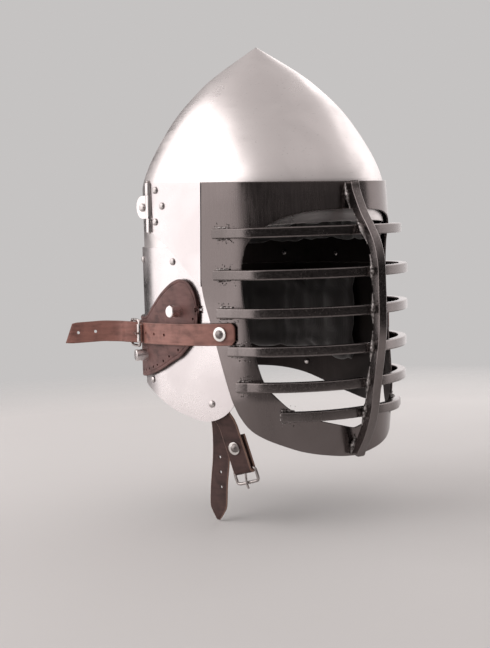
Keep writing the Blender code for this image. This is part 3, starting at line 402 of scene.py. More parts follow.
# ---- materials -------------------------------------------------------------------
class Nodes:
    """Short forms for building one material's node tree."""

    def __init__(self, name, color, metallic, rough, **sockets):
        self.mat = bpy.data.materials.new(name)
        self.mat.use_nodes = True
        self.tree = self.mat.node_tree
        self.bsdf = self.tree.nodes["Principled BSDF"]
        self.bsdf.inputs["Base Color"].default_value = (*color, 1.0)
        self.bsdf.inputs["Metallic"].default_value = metallic
        self.bsdf.inputs["Roughness"].default_value = rough
        for key, value in sockets.items():
            self.bsdf.inputs[key.replace("_", " ")].default_value = value
        self.coords = self.tree.nodes.new("ShaderNodeTexCoord").outputs["Object"]
        self.bump = None

    def link(self, a, b):
        self.tree.links.new(a, b)

    def mapped(self, scale, turn=(0, 0, 0)):
        node = self.tree.nodes.new("ShaderNodeMapping")
        node.inputs["Scale"].default_value = scale
        node.inputs["Rotation"].default_value = turn
        self.link(self.coords, node.inputs["Vector"])
        return node.outputs["Vector"]

    def noise(self, scale, detail=3.0, stretch=(1, 1, 1), turn=(0, 0, 0), warp=0.0):
        node = self.tree.nodes.new("ShaderNodeTexNoise")
        node.inputs["Scale"].default_value = scale
        node.inputs["Detail"].default_value = detail
        node.inputs["Distortion"].default_value = warp
        self.link(self.mapped(stretch, turn), node.inputs["Vector"])
        return node.outputs["Fac"]

    def cells(self, scale, feature="F1"):
        node = self.tree.nodes.new("ShaderNodeTexVoronoi")
        node.feature = feature
        node.inputs["Scale"].default_value = scale
        self.link(self.mapped((1, 1, 1)), node.inputs["Vector"])
        return node.outputs["Distance"]

    def weave(self, scale, direction):
        node = self.tree.nodes.new("ShaderNodeTexWave")
        node.bands_direction = direction
        node.inputs["Scale"].default_value = scale
        node.inputs["Distortion"].default_value = 0.6
        self.link(self.coords, node.inputs["Vector"])
        return node.outputs["Fac"]

    def attribute(self, name):
        node = self.tree.nodes.new("ShaderNodeAttribute")
        node.attribute_name = name
        return node.outputs["Fac"]

    def span(self, value, low, high, new_low, new_high):
        """Maps low..high of a value to new_low..new_high."""
        node = self.tree.nodes.new("ShaderNodeMapRange")
        for key, v in zip(("From Min", "From Max", "To Min", "To Max"), (low, high, new_low, new_high)):
            node.inputs[key].default_value = v
        self.link(value, node.inputs["Value"])
        return node.outputs["Result"]

    def math(self, op, a, b):
        node = self.tree.nodes.new("ShaderNodeMath")
        node.operation = op
        for socket, v in zip(node.inputs, (a, b)):
            if isinstance(v, (int, float)):
                socket.default_value = v
            else:
                self.link(v, socket)
        return node.outputs["Value"]

    def ramp(self, value, stops):
        node = self.tree.nodes.new("ShaderNodeValToRGB")
        while len(node.color_ramp.elements) < len(stops):
            node.color_ramp.elements.new(0.5)
        for element, (where, color) in zip(node.color_ramp.elements, stops):
            element.position = where
            element.color = (*color, 1.0)
        self.link(value, node.inputs["Fac"])
        return node.outputs["Color"]

    def blend(self, factor, a, b):
        """Colour a turning to colour b where factor is 1; a and b are colours or sockets."""
        node = self.tree.nodes.new("ShaderNodeMix")
        node.data_type = "RGBA"
        for socket, v in zip((node.inputs[0], node.inputs[6], node.inputs[7]), (factor, a, b)):
            if isinstance(v, tuple):
                socket.default_value = (*v, 1.0)
            elif isinstance(v, (int, float)):
                socket.default_value = v
            else:
                self.link(v, socket)
        return node.outputs[2]

    def relief(self, height, depth_mm, strength=1.0):
        node = self.tree.nodes.new("ShaderNodeBump")
        node.inputs["Strength"].default_value = strength
        node.inputs["Distance"].default_value = depth_mm * MM
        self.link(height, node.inputs["Height"])
        if self.bump is not None:
            self.link(self.bump, node.inputs["Normal"])
        self.bump = node.outputs["Normal"]

    def finish(self, color=None, rough=None):
        if color is not None:
            self.link(color, self.bsdf.inputs["Base Color"])
        if rough is not None:
            self.link(rough, self.bsdf.inputs["Roughness"])
        if self.bump is not None:
            self.link(self.bump, self.bsdf.inputs["Normal"])
        return self.mat


def polished(name, tint, rough, wave_mm=0.05, lines=(900, 900, 30)):
    """Hand-raised steel: soft waves, fine brushing, smudges and a few long scratches."""
    m = Nodes(name, tint, 1.0, rough)
    smudge = m.noise(16.0, 4.0, warp=1.2)
    brush = m.noise(1.0, 2.0, stretch=lines)
    scratch = m.noise(1.0, 1.0, stretch=(60, 900, 700), turn=(0.3, 0.5, 0.9))
    hairline = m.span(scratch, 0.70, 0.76, 0.0, 1.0)
    tone = m.ramp(smudge, [(0.30, tuple(c * 0.90 for c in tint)), (0.68, tint)])
    worn = m.blend(hairline, tone, tuple(c * 0.80 for c in tint))
    base = m.span(smudge, 0.3, 0.7, rough * 1.35, rough * 0.80)
    grain = m.span(brush, 0.3, 0.7, -0.03, 0.04)
    m.relief(m.noise(22.0, 1.0), wave_mm, 0.5)
    m.relief(brush, 0.006, 0.35)
    return m.finish(worn, m.math("ADD", base, grain))


def satin(name, light, dark, rough, lines=(1100, 1100, 22)):
    """Dark satin steel with vertical brushing and rubbed, lighter places."""
    m = Nodes(name, light, 1.0, rough)
    cloud = m.noise(14.0, 5.0, warp=0.8)
    brush = m.noise(1.0, 3.0, stretch=lines)
    mixed = m.math("ADD", m.math("MULTIPLY", cloud, 0.7), m.math("MULTIPLY", brush, 0.3))
    tone = m.ramp(mixed, [(0.36, dark), (0.66, light)])
    base = m.span(cloud, 0.3, 0.7, rough * 1.18, rough * 0.85)
    m.relief(m.noise(30.0, 2.0), 0.05, 0.5)
    m.relief(brush, 0.006, 0.35)
    return m.finish(tone, m.math("ADD", base, m.span(brush, 0.3, 0.7, -0.04, 0.05)))


def capped_rivet(name, centre, head, tint, dome_tint, rough):
    """Zinc washer with a darker domed head in its middle; centre is the head's middle."""
    m = Nodes(name, tint, 1.0, rough)
    away = m.tree.nodes.new("ShaderNodeVectorMath")
    away.operation = "DISTANCE"
    m.link(m.coords, away.inputs[0])
    away.inputs[1].default_value = centre
    cloud = m.noise(260.0, 4.0)
    inner = m.span(away.outputs["Value"], head * 0.94, head, 1.0, 0.0)
    ring = m.blend(cloud, tint, tuple(c * 0.82 for c in tint))
    dome = m.blend(cloud, dome_tint, tuple(c * 0.55 for c in dome_tint))
    m.relief(cloud, 0.05, 0.4)
    return m.finish(m.blend(inner, ring, dome), m.span(cloud, 0.3, 0.7, rough * 1.2, rough * 0.8))


def weld_steel():
    """Rough bead metal: scale in the hollows, bright ground tops."""
    m = Nodes("weld_steel", (0.34, 0.31, 0.30), 1.0, 0.42)
    lumps = m.noise(420.0, 4.0)
    tone = m.ramp(lumps, [(0.36, (0.05, 0.043, 0.04)), (0.60, (0.42, 0.39, 0.38))])
    m.relief(lumps, 0.35, 0.9)
    return m.finish(tone, m.span(lumps, 0.3, 0.7, 0.6, 0.3))


def leather(name, dark, mid, edge_tone, rough, sheen=0.05):
    """Bridle leather: mottled dye, pores and fine wrinkles, and cut edges of another tone."""
    m = Nodes(name, mid, 0.0, rough, Specular_IOR_Level=0.42, Sheen_Weight=sheen)
    mottle = m.noise(75.0, 6.0, warp=0.6)
    streak = m.noise(1.0, 4.0, stretch=(60, 60, 330))
    mixed = m.math("ADD", m.math("MULTIPLY", mottle, 0.6), m.math("MULTIPLY", streak, 0.4))
    light = tuple(min(1.0, c * 1.35) for c in mid)
    dye = m.ramp(mixed, [(0.34, dark), (0.50, mid), (0.68, light)])
    pores = m.cells(1250.0)
    pitted = m.blend(m.span(pores, 0.0, 0.28, 0.55, 0.0), dye, dark)
    color = m.blend(m.span(m.attribute("edge"), 0.25, 0.9, 0.0, 0.85), pitted, edge_tone)
    m.relief(m.cells(620.0, "DISTANCE_TO_EDGE"), 0.12, 0.45)
    m.relief(m.noise(1.0, 3.0, stretch=(260, 260, 900)), 0.16, 0.4)
    m.relief(m.noise(170.0, 3.0), 0.35, 0.35)
    return m.finish(color, m.span(mixed, 0.3, 0.7, rough * 1.15, rough * 0.82))


def quilt_cloth():
    """Dark cotton with a plain weave and a little fluff."""
    m = Nodes("liner_cloth", (0.040, 0.034, 0.033), 0.0, 0.92, Sheen_Weight=0.5, Sheen_Roughness=0.6)
    threads = m.math("MULTIPLY", m.weave(420.0, "X"), m.weave(420.0, "Z"))
    fade = m.noise(38.0, 5.0)
    tone = m.ramp(fade, [(0.3, (0.012, 0.010, 0.010)), (0.7, (0.034, 0.029, 0.028))])
    color = m.blend(m.span(threads, 0.0, 1.0, 0.0, 0.35), tone, (0.050, 0.043, 0.041))
    m.relief(threads, 0.20, 0.6)
    m.relief(m.noise(900.0, 2.0), 0.15, 0.5)
    return m.finish(color)


MIRROR = polished("polished_steel", (0.80, 0.755, 0.745), 0.31, lines=(40, 40, 900))
SHEET = polished("guard_steel", (0.72, 0.675, 0.675), 0.27, 0.03, lines=(30, 900, 900))
# inner side of every sheet: the steel is given a nearly black colour, painted shade for the shade inside
# the helmet
INSIDE_SHADE_STEEL = satin("inside_steel_painted_shade", (0.060, 0.050, 0.048), (0.030, 0.026, 0.025), 0.55)
# visor mask: the same steel as the visor arms with a dark base colour, painted shade standing for the dark
# surroundings it reflects
SATIN_PAINTED_SHADE = satin("dark_steel", (0.205, 0.178, 0.174), (0.165, 0.142, 0.138), 0.215)
# bars and post: the mask's steel with a dark base colour, painted shade standing for the dark surroundings
# they reflect
BAR_PAINTED_SHADE = satin("bar_steel", (0.24, 0.212, 0.207), (0.150, 0.132, 0.128), 0.22, lines=(500, 500, 500))
RIVET = satin("rivet_steel", (0.62, 0.58, 0.57), (0.45, 0.42, 0.41), 0.27, lines=(700, 700, 700))
WIRE_STEEL = satin("buckle_steel", (0.62, 0.57, 0.55), (0.34, 0.31, 0.30), 0.26, lines=(700, 700, 90))
WELD = weld_steel()
STRAP = leather("strap_leather", (0.145, 0.060, 0.047), (0.255, 0.112, 0.088), (0.17, 0.080, 0.060), 0.52)
BAND = leather("band_leather", (0.070, 0.030, 0.026), (0.122, 0.053, 0.046), (0.042, 0.018, 0.015), 0.58)
CHIN = leather("chin_leather", (0.028, 0.013, 0.011), (0.056, 0.025, 0.021), (0.36, 0.22, 0.17), 0.62)
CLOTH = quilt_cloth()


# ---- skull -----------------------------------------------------------------------
DOME_FINE = spline(DOME, 5)


def skull_point(theta, z, off=0.0):
    b = table(DOME_FINE, z, 1)
    n = N_SIDE - 0.2 * max(0.0, z) / APEX_Z
    a = SKULL_A - 0.2 if z <= 0 else b * SKULL_RATIO
    if z > 127:
        b = 8.0 * (APEX_Z - z) / (APEX_Z - 127.0)
        a = b
    shift = table(DOME_FINE, z, 2)
    return plan(theta, max(0.0, a - off), max(0.0, b - off), n, PLAN_Y + shift)


def brow_low(theta):
    """Lower edge of the skull at an angle from the face."""
    t = abs(math.degrees(math.atan2(math.sin(theta), math.cos(theta))))
    lo = 50.0
    hi = 61.0
    if t <= lo:
        return BROW_EDGE - 3.0 * (t / lo) ** 2
    if t >= hi:
        return SKULL_LOW
    f = (t - lo) / (hi - lo)
    return lerp(BROW_EDGE - 3.0, SKULL_LOW, f * f * (3 - 2 * f))


def make_skull():
    cols = 180
    rows = [i * 3.0 for i in range(43)] + [129.2]
    grid = []
    for i in range(cols):
        theta = 2 * math.pi * i / cols
        low = brow_low(theta)
        heights = [lerp(low, 0.0, k / 12) for k in range(12)] + rows
        grid.append([at(*skull_point(theta, z), z) for z in heights])
    plate("skull_shell", grid, SKULL_T, "helmet", MIRROR, ["skull"], wrap=True,
          tip=at(0, PLAN_Y + 1.5, APEX_Z), edge=0.45)


# ---- neck guard and leather band ---------------------------------------------------
def mirror_edges(edge):
    """A right-hand (theta, height) edge carried round the back to the left."""
    left = [(2 * math.pi - t, z) for t, z in reversed(edge)]
    return edge + left[1:]


def low_edge(y):
    rows = [(-64, -183), (-30, -214.6), (-18, -213.4), (-4, -210.8), (11, -207.2), (27, -202.4),
            (43, -196.8), (60, -191.4), (78, -187.6), (97, -185.6), (130, -184.6)]
    return table(rows, y, 1)


def guard_ys(*pairs):
    return [(theta_y(y, GUARD_B), z) for y, z in pairs]


def make_guard():
    top = guard_ys((-44.5, -62), (-44.2, -59), (-43.4, -57), (-41, -56.2), (-37, -56), (-31, -56),
                   (-23.5, -56))
    low = guard_ys((-64, -183), (-63, -190), (-60.5, -197), (-56.5, -203), (-50, -208.6), (-41, -212.8),
                   (-30, -214.6))
    for k in range(11, 25):
        th = math.radians(7.5) * k
        top.append((th, -56.0))
        low.append((th, low_edge(plan(th, GUARD_A, GUARD_B)[1])))
    steps = 4
    fine = 28
    top = spline(mirror_edges(top), steps)
    low = spline(mirror_edges(low), steps)
    bow = [h for h, in spline([(0.0,), (5.2,), (9.2,), (4.6,), (0.0,)], fine // 4)]
    grid = []
    for i, ((t0, z0), (t1, z1)) in enumerate(zip(top, low)):
        near = min(i, len(top) - 1 - i) / steps
        weight = max(0.0, 1.0 - near / 6.0) * (1.0 if i < len(top) / 2 else -1.0)
        col = []
        for k in range(fine + 1):
            theta = lerp(t0, t1, k / fine) + weight * bow[k] / 108.0
            z = lerp(z0, z1, k / fine)
            col.append(at(*plan(theta, GUARD_A, GUARD_B), z))
        grid.append(col)
    plate("neck_plate", grid, GUARD_T, "helmet", SHEET, ["neck_guard"])


def band_edge(y, col):
    rows = [(-6, -84.8, -153.0), (4, -86.4, -159.4), (16, -91.8, -164.8), (27, -98.4, -169.3),
            (38, -106, -173), (48, -114, -175.8), (57, -119.6, -178), (68, -122, -179.4),
            (82, -122.5, -180.6), (98, -122.5, -181), (140, -122.5, -181)]
    return table(rows, y, col)


BAND_CREASE = 3.0
BAND_HOLE_INSET = 6.2
BAND_HOLE_PITCH = 9.5
BAND_HOLE_R = 1.25
BAND_TURN = 112.0       # one radian of turn as mm along the band


def make_band():
    """Leather band with a creased border and a row of lacing holes above its lower edge."""
    top = [(theta_y(y, BAND_B), z)
           for y, z in ((-26.6, -108), (-24.5, -99), (-20, -91.5), (-14, -86.6), (-6, -84.8))]
    low = [(theta_y(y, BAND_B), z)
           for y, z in ((-27.4, -117), (-26.4, -126), (-23.4, -134.6), (-18, -143), (-9, -151.6))]
    for k in range(12, 25):
        th = math.radians(7.5) * k
        y = plan(th, BAND_A, BAND_B)[1]
        top.append((th, band_edge(y, 1)))
        low.append((th, band_edge(y, 2)))
    top = spline(mirror_edges(top), 6)
    low = spline(mirror_edges(low), 6)
    near = (0.0, 0.4, 0.9, 1.8, 2.4, 2.8, 3.0, 3.2, 3.6, 4.4)
    bm = bmesh.new()
    layer = bm.verts.layers.float.new("edge")
    cols = []
    holes = []
    run = 0.0
    count = len(top)

    def steepness(edge, i):
        (ta, za), (tb, zb) = edge[max(0, i - 1)], edge[min(count - 1, i + 1)]
        across = abs(tb - ta) * BAND_TURN
        return max(0.25, across / math.hypot(across, zb - za))

    for i, ((t0, z0), (t1, z1)) in enumerate(zip(top, low)):
        span = math.hypot(z1 - z0, (t1 - t0) * BAND_TURN)
        upper = [min(d / steepness(top, i), span * 0.45) for d in near]
        lower = [min(d / steepness(low, i), span * 0.45) for d in near]
        middle = [lerp(upper[-1], span - lower[-1], k / 9) for k in range(1, 9)]
        places = ([(s, d) for s, d in zip(upper, near)] + [(s, 9.0) for s in middle]
                  + [(span - s, d) for s, d in reversed(list(zip(lower, near)))])
        col = []
        for s, d in places:
            f = s / span
            theta = lerp(t0, t1, f)
            z = lerp(z0, z1, f)
            sink = 0.45 * math.exp(-((d - BAND_CREASE) / 0.3) ** 2) + 0.5 * max(0.0, 1 - d / 0.9) ** 2
            vert = bm.verts.new(at(*plan(theta, BAND_A - sink, BAND_B - sink), z))
            vert[layer] = max(0.0, 1.0 - d / 1.0)
            col.append(vert)
        cols.append(col)
        if i:
            run += math.dist((low[i][0] * BAND_TURN, low[i][1]), (low[i - 1][0] * BAND_TURN, low[i - 1][1]))
        if run >= BAND_HOLE_PITCH * len(holes) and 0 < i < count - 1:
            f = 1.0 - min(0.48, BAND_HOLE_INSET / steepness(low, i) / span)
            theta = lerp(t0, t1, f)
            holes.append((at(*plan(theta, BAND_A, BAND_B), lerp(z0, z1, f)),
                          out_normal(theta, BAND_A, BAND_B), BAND_HOLE_R))
    grid_faces(bm, cols, False)
    bm.normal_update()
    face_outward(bm)
    obj = new_object("leather_band", bm, None, BAND)
    thicken(obj, BAND_T)
    obj.data = applied(obj)
    obj.modifiers.clear()
    punch(obj, holes, "MANIFOLD")
    ease(obj, 0.15, 1)
    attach(obj, "helmet")
    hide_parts("aventail_band")


# ---- visor -----------------------------------------------------------------------
MASK_B = [(-260, 124.2), (-60, 124.2), (-45, 123.8), (-30, 123.0), (-10, 121.4), (0, 120.5), (10, 120.2)]


def mask_ab(z):
    taper = MASK_TAPER * max(0.0, MASK_TAPER_Z - z)
    return MASK_A - taper, table(MASK_B, z, 1) - taper


def tz(pairs, kind):
    """Outline points given by y or by x, as (turn, height)."""
    out = []
    for v, z in pairs:
        a, b = mask_ab(z)
        out.append((theta_y(v, b) if kind == "y" else theta_x(v, a), z))
    return out


def top_z(y):
    return max(0.0, (y + 116.0) * 0.030)


REAR = [(-35.0, 2.4), (-34.2, -18.0), (-33.4, -40.0), (-32.4, -64.0), (-31.6, -88.0), (-34.4, -104.0),
        (-40.2, -123.0), (-46.8, -147.0), (-53.4, -171.0), (-60.2, -194.0), (-65.0, -207.0)]
CHIN_SIDE = [(-65.0, -207.0), (-70.0, -216.0), (-76.0, -223.0)]
CHIN_FRONT = [(78.0, -229.5), (68.8, -234.6), (61.5, -238.0), (53.0, -241.3), (41.0, -244.4),
              (28.0, -246.8), (14.0, -248.9), (0.0, -250.0)]
HOLE_TOP = [(0.0, -25.2), (14.0, -25.4), (30.0, -25.9), (46.8, -27.2), (57.0, -29.4), (65.2, -31.8),
            (71.5, -35.0), (76.7, -38.6), (82.0, -43.8), (85.6, -49.0)]
HOLE_SIDE = [(85.6, -49.0), (88.4, -55.0), (89.8, -62.5), (91.0, -74.0), (91.2, -88.0), (90.6, -106.0),
             (89.0, -125.6), (87.6, -141.6), (84.8, -158.6), (81.6, -175.0), (77.0, -186.0)]
HOLE_LOW = [(77.0, -186.0), (73.4, -191.0), (67.5, -198.5), (61.0, -204.2), (52.0, -209.0),
            (41.0, -213.2), (28.5, -216.8), (14.0, -220.6), (0.0, -224.0)]
TURN_MM = 110.0         # one radian of turn counts as this many mm along the plate


def outline(parts):
    """Half outline in even steps; each part is its points and how many steps it takes."""
    out = []
    for pts, count in parts:
        flat = [(t * TURN_MM, z) for t, z in pts]
        run = resample(spline(flat, 8), count)
        out.extend(run if not out else run[1:])
    half = [(t / TURN_MM, z) for t, z in out]
    return half + [(-t, z) for t, z in reversed(half[1:-1])]


def make_mask():
    th_rear = theta_y(-35.0, mask_ab(2.4)[1])
    top = []
    for i in range(21):
        th = th_rear * i / 20
        top.append((th, top_z(plan(th, *mask_ab(0.0))[1])))
    rear = tz(REAR, "y")
    rear[0] = top[-1]
    low = tz(CHIN_SIDE, "y") + tz(CHIN_FRONT, "x")
    steps = (34, 44, 34)
    rim = outline(zip((top, rear, low), steps))
    hole = outline(zip((tz(HOLE_TOP, "x"), tz(HOLE_SIDE, "x"), tz(HOLE_LOW, "x")), steps))
    fine = 16
    grid = []
    for (t0, z0), (t1, z1) in zip(rim, hole):
        col = []
        for k in range(fine + 1):
            z = lerp(z0, z1, k / fine)
            col.append(at(*plan(lerp(t0, t1, k / fine), *mask_ab(z)), z))
        grid.append(col)
    plate("visor_plate", grid, MASK_T, "visor", SATIN_PAINTED_SHADE, ["visor_mask"], wrap=True, edge=0.5,
          segments=3)


ARM_LOW = [(-31.2, -91.6), (-22.0, -83.6), (-12.0, -74.8), (2.0, -63.6), (15.0, -54.8), (25.0, -49.6),
           (31.5, -46.2), (34.6, -43.6), (35.8, -41.5)]


def arm_front(z):
    return table([(-92, -30.8), (-88, -30.7), (-64, -31.5), (-40, -32.5), (-18, -33.3), (5, -34.1)], z, 1)


def make_arms():
    fine = 24
    lows = spline(ARM_LOW, 4)
    for tag, side in SIDES:
        grid = []
        for yl, zl in lows:
            f = (yl - ARM_LOW[0][0]) / (ARM_LOW[-1][0] - ARM_LOW[0][0])
            col = []
            for k in range(fine + 1):
                z = lerp(top_z(lerp(-34.6, 35.8, f)), zl, k / fine)
                y = lerp(arm_front(z), 35.8, f)
                x = ARM_A if y >= PLAN_Y else side_x(y, ARM_A, ARM_B)
                col.append(at(-x * side, y, z))
            grid.append(col)
        plate("arm_" + tag, grid, ARM_T, "visor", SHEET, ["visor_arm_" + tag], edge=0.3)


def post_y(z):
    rows = sorted((zz, yy) for yy, zz in POST_PATH)
    return table(rows, z, 1)


def surface_point(theta, z, off):
    a, b = mask_ab(z)
    x, y = plan(theta, a, b)
    n = out_normal(theta, a, b)
    return Vector((x + n.x * off, y + n.y * off, z)), n


def bar_path(num, level, y_end, reach, bow):
    """Right half of a bar's centre line, from its end on the plate to the middle."""
    off = BAR_D / 2 + GAP + (0.25 if num == 6 else 0.0)
    slope = abs(post_y(level + 6) - post_y(level - 6)) / 12.0
    back = POST / 2 * math.hypot(1.0, slope) + (BAR_H / 2) * slope
    front = post_y(level) + back + GAP + BAR_D / 2
    th0 = theta_y(y_end, mask_ab(level)[1])
    pts = [surface_point(th0 - BAR_LAP * k / 6, level, off)[0] for k in range(7)]
    n = surface_point(th0 - BAR_LAP, level, off)[1]
    fwd = Vector((-n.y, n.x, 0))
    if fwd.y > 0:
        fwd.negate()
    fwd = (fwd + n * 0.34).normalized()
    b0 = pts[-1]
    b1 = b0 + fwd * reach
    b2 = Vector((-bow, front, level))
    b3 = Vector((0.0, front, level))
    for k in range(1, 27):
        t = k / 26
        u = 1 - t
        pts.append(b0 * u ** 3 + b1 * (3 * u * u * t) + b2 * (3 * u * t * t) + b3 * t ** 3)
    return pts, th0


def make_bars():
    section = rounded(BAR_D, BAR_H, 1.3)
    for num, (level, y_end, reach, bow) in enumerate(BARS, 1):
        half, th0 = bar_path(num, level, y_end, reach, bow)
        path = half + [Vector((-p.x, p.y, p.z)) for p in reversed(half[:-1])]
        pts = [at(*p) for p in path]
        inset = pts[0].lerp(pts[1], 0.25)
        inset_far = pts[-1].lerp(pts[-2], 0.25)
        pts = [pts[0], inset] + pts[1:-1] + [inset_far, pts[-1]]
        last = len(pts) - 1
        bm = bmesh.new()
        sweep(bm, pts, section, in_plane(pts, Vector((0, 0, 1))),
              lambda i, n=last: 0.88 if i in (0, n) else 1.0)
        bmesh.ops.recalc_face_normals(bm, faces=bm.faces)
        bar = new_object("visor_bar_%d" % num, bm, "visor", BAR_PAINTED_SHADE, ["bar_%d" % num])
        bar.modifiers.new("normals", "WEIGHTED_NORMAL")
        for tag, side in SIDES:
            end_weld(num, tag, side, level, th0)
    pts = [at(0, y, z) for y, z in spline(POST_PATH, 4)]
    bm = bmesh.new()
    last = len(pts) - 1
    sweep(bm, pts, rounded(POST, POST, 1.5), in_plane(pts, Vector((1, 0, 0))),
          lambda i, n=last: 0.9 if i in (0, n) else 1.0)
    bmesh.ops.recalc_face_normals(bm, faces=bm.faces)
    post = new_object("visor_post", bm, "visor", BAR_PAINTED_SHADE, ["face_post"])
    post.modifiers.new("normals", "WEIGHTED_NORMAL")


# ---- welds -----------------------------------------------------------------------
def bead(bm, path, radius, seed, squash=0.75):
    """A laid weld bead: rippled and lumpy, radius(t) in mm along the path."""
    count = len(path)
    rings = []
    for i, p in enumerate(path):
        t = (path[min(i + 1, count - 1)] - path[max(i - 1, 0)]).normalized()
        ref = Vector((0, 0, 1)) if abs(t.z) < 0.9 else Vector((1, 0, 0))
        a = t.cross(ref).normalized()
        b = t.cross(a).normalized()
        size = radius(i / (count - 1)) * (1.0 + 0.14 * math.sin(i * 1.9))
        ring = []
        for k in range(10):
            q = 2 * math.pi * k / 10
            spread = p + a * (math.cos(q) * size * MM) + b * (math.sin(q) * size * squash * MM)
            lump = 1.0 + 0.30 * noise.noise(spread * 520.0 + Vector((seed, 0, 0)))
            ring.append(bm.verts.new(p + (spread - p) * lump))
        rings.append(ring)
    for p, q in zip(rings, rings[1:]):
        for k in range(10):
            m = (k + 1) % 10
            bm.faces.new((p[k], p[m], q[m], q[k]))
    bm.faces.new(list(reversed(rings[0])))
    bm.faces.new(rings[-1])


def grain(bm, centre, size):
    made = bmesh.ops.create_icosphere(bm, subdivisions=2, radius=size * MM,
                                      matrix=Matrix.Translation(centre))
    for v in made["verts"]:
        v.co = centre + (v.co - centre) * (1.0 + 0.35 * noise.noise(v.co * 900.0))


def end_weld(num, tag, side, level, th0):
    """Beads above and below a bar's end, and the spatter round them."""
    dice = random.Random(40 * num + side)
    bm = bmesh.new()
    for sign in (-1, 1):
        z = level + sign * (BAR_H / 2 + 0.5)
        path = []
        for k in range(24):
            theta = th0 + BAR_LAP * (0.02 - 1.10 * k / 23)
            p = surface_point(theta, z + 0.3 * math.sin(k * 0.8 + num), 1.0 - 0.3 * k / 23)[0]
            path.append(at(p.x * side, p.y, p.z))
        bead(bm, path, lambda t: 1.9 * (1 - 0.55 * t) * min(1.0, 0.45 + 4 * t), num * 3.1 + sign)
        for _ in range(9):
            theta = th0 - BAR_LAP * dice.uniform(-0.15, 1.5)
            up = level + sign * (BAR_H / 2 + dice.uniform(1.6, 5.2))
            p = surface_point(theta, up, 0.12)[0]
            grain(bm, at(p.x * side, p.y, p.z), dice.uniform(0.25, 0.75))
    path = []
    for k in range(12):
        p = surface_point(th0 + math.radians(0.25), level + lerp(-4.2, 4.2, k / 11), 0.7)[0]
        path.append(at(p.x * side, p.y, p.z))
    bead(bm, path, lambda t: 1.0, num * 7.7)
    bmesh.ops.recalc_face_normals(bm, faces=bm.faces)
    weld = new_object("weld_%d_%s" % (num, tag), bm, "visor", WELD)
    subdivide(weld, 1)


# Fillets at the post's ends: heights from and to, points, how fast the bead swells, seed.
POST_ENDS = ((-1.5, -25.5, 24, 1.15, 31.0), (-247.6, -231.5, 22, 1.1, 47.0))


def make_post_welds():
    """Tapered fillets where the bars cross the post, and the welds at the post's ends."""
    bm = bmesh.new()
    for num, (level, *_) in enumerate(BARS, 1):
        for side in (-1, 1):
            path = []
            for k in range(26):
                z = level + lerp(15.0, -13.0, k / 25)
                path.append(at(side * (POST / 2 - 0.2), post_y(z) + POST / 2 - 0.6, z))
            bead(bm, path, lambda t: 0.7 + 2.3 * math.exp(-((t - 0.52) / 0.24) ** 2), num * 2.3 + side, 0.8)
    for side in (-1, 1):
        for start, end, count, pace, seed in POST_ENDS:
            path = []
            for k in range(count):
                z = lerp(start, end, k / (count - 1))
                face = PLAN_Y - mask_ab(z)[1]
                path.append(at(side * (POST / 2 - 0.3), lerp(face, post_y(z) + POST / 2, 0.6), z))
            bead(bm, path, lambda t, p=pace: 1.0 + 2.2 * math.sin(math.pi * min(1.0, t * p)) ** 2,
                 seed + side)
    bmesh.ops.recalc_face_normals(bm, faces=bm.faces)
    weld = new_object("weld_post", bm, "visor", WELD)
    subdivide(weld, 1)


# ---- straps ----------------------------------------------------------------------
RISE = [(5.5, 0.9), (10.0, 4.0), (14.5, 8.4), (18.5, 11.6), (23.0, 13.0), (27.5, 15.6), (32.0, 21.6),
        (36.5, 30.0), (41.0, 39.5), (45.0, 48.5), (49.0, 57.0), (52.4, 64.2)]
UP = (0.0, 0.0, 1.0)
TAIL_SLANT = 8.5        # mm that the free end's upper corner lies behind its lower one
TAIL_SPAN = TAIL_SLANT * 2.2
STRAP_HOLE_R = 1.5


def strap_lines():
    """Centre line of the wearer's right visor strap, and its frame at the buckle's roller."""
    t0 = theta_y(-67.5, STRAP_B)
    t1 = theta_y(ROLLER_Y, STRAP_B)
    path = [plan(lerp(t0, t1, i / 16), STRAP_A, STRAP_B) for i in range(17)]
    end = Vector((*path[-1], 0))
    t = (end - Vector((*path[-2], 0))).normalized()
    n = Vector((t.y, -t.x, 0))
    if n.x > 0:
        n.negate()
    return path, end, t, n


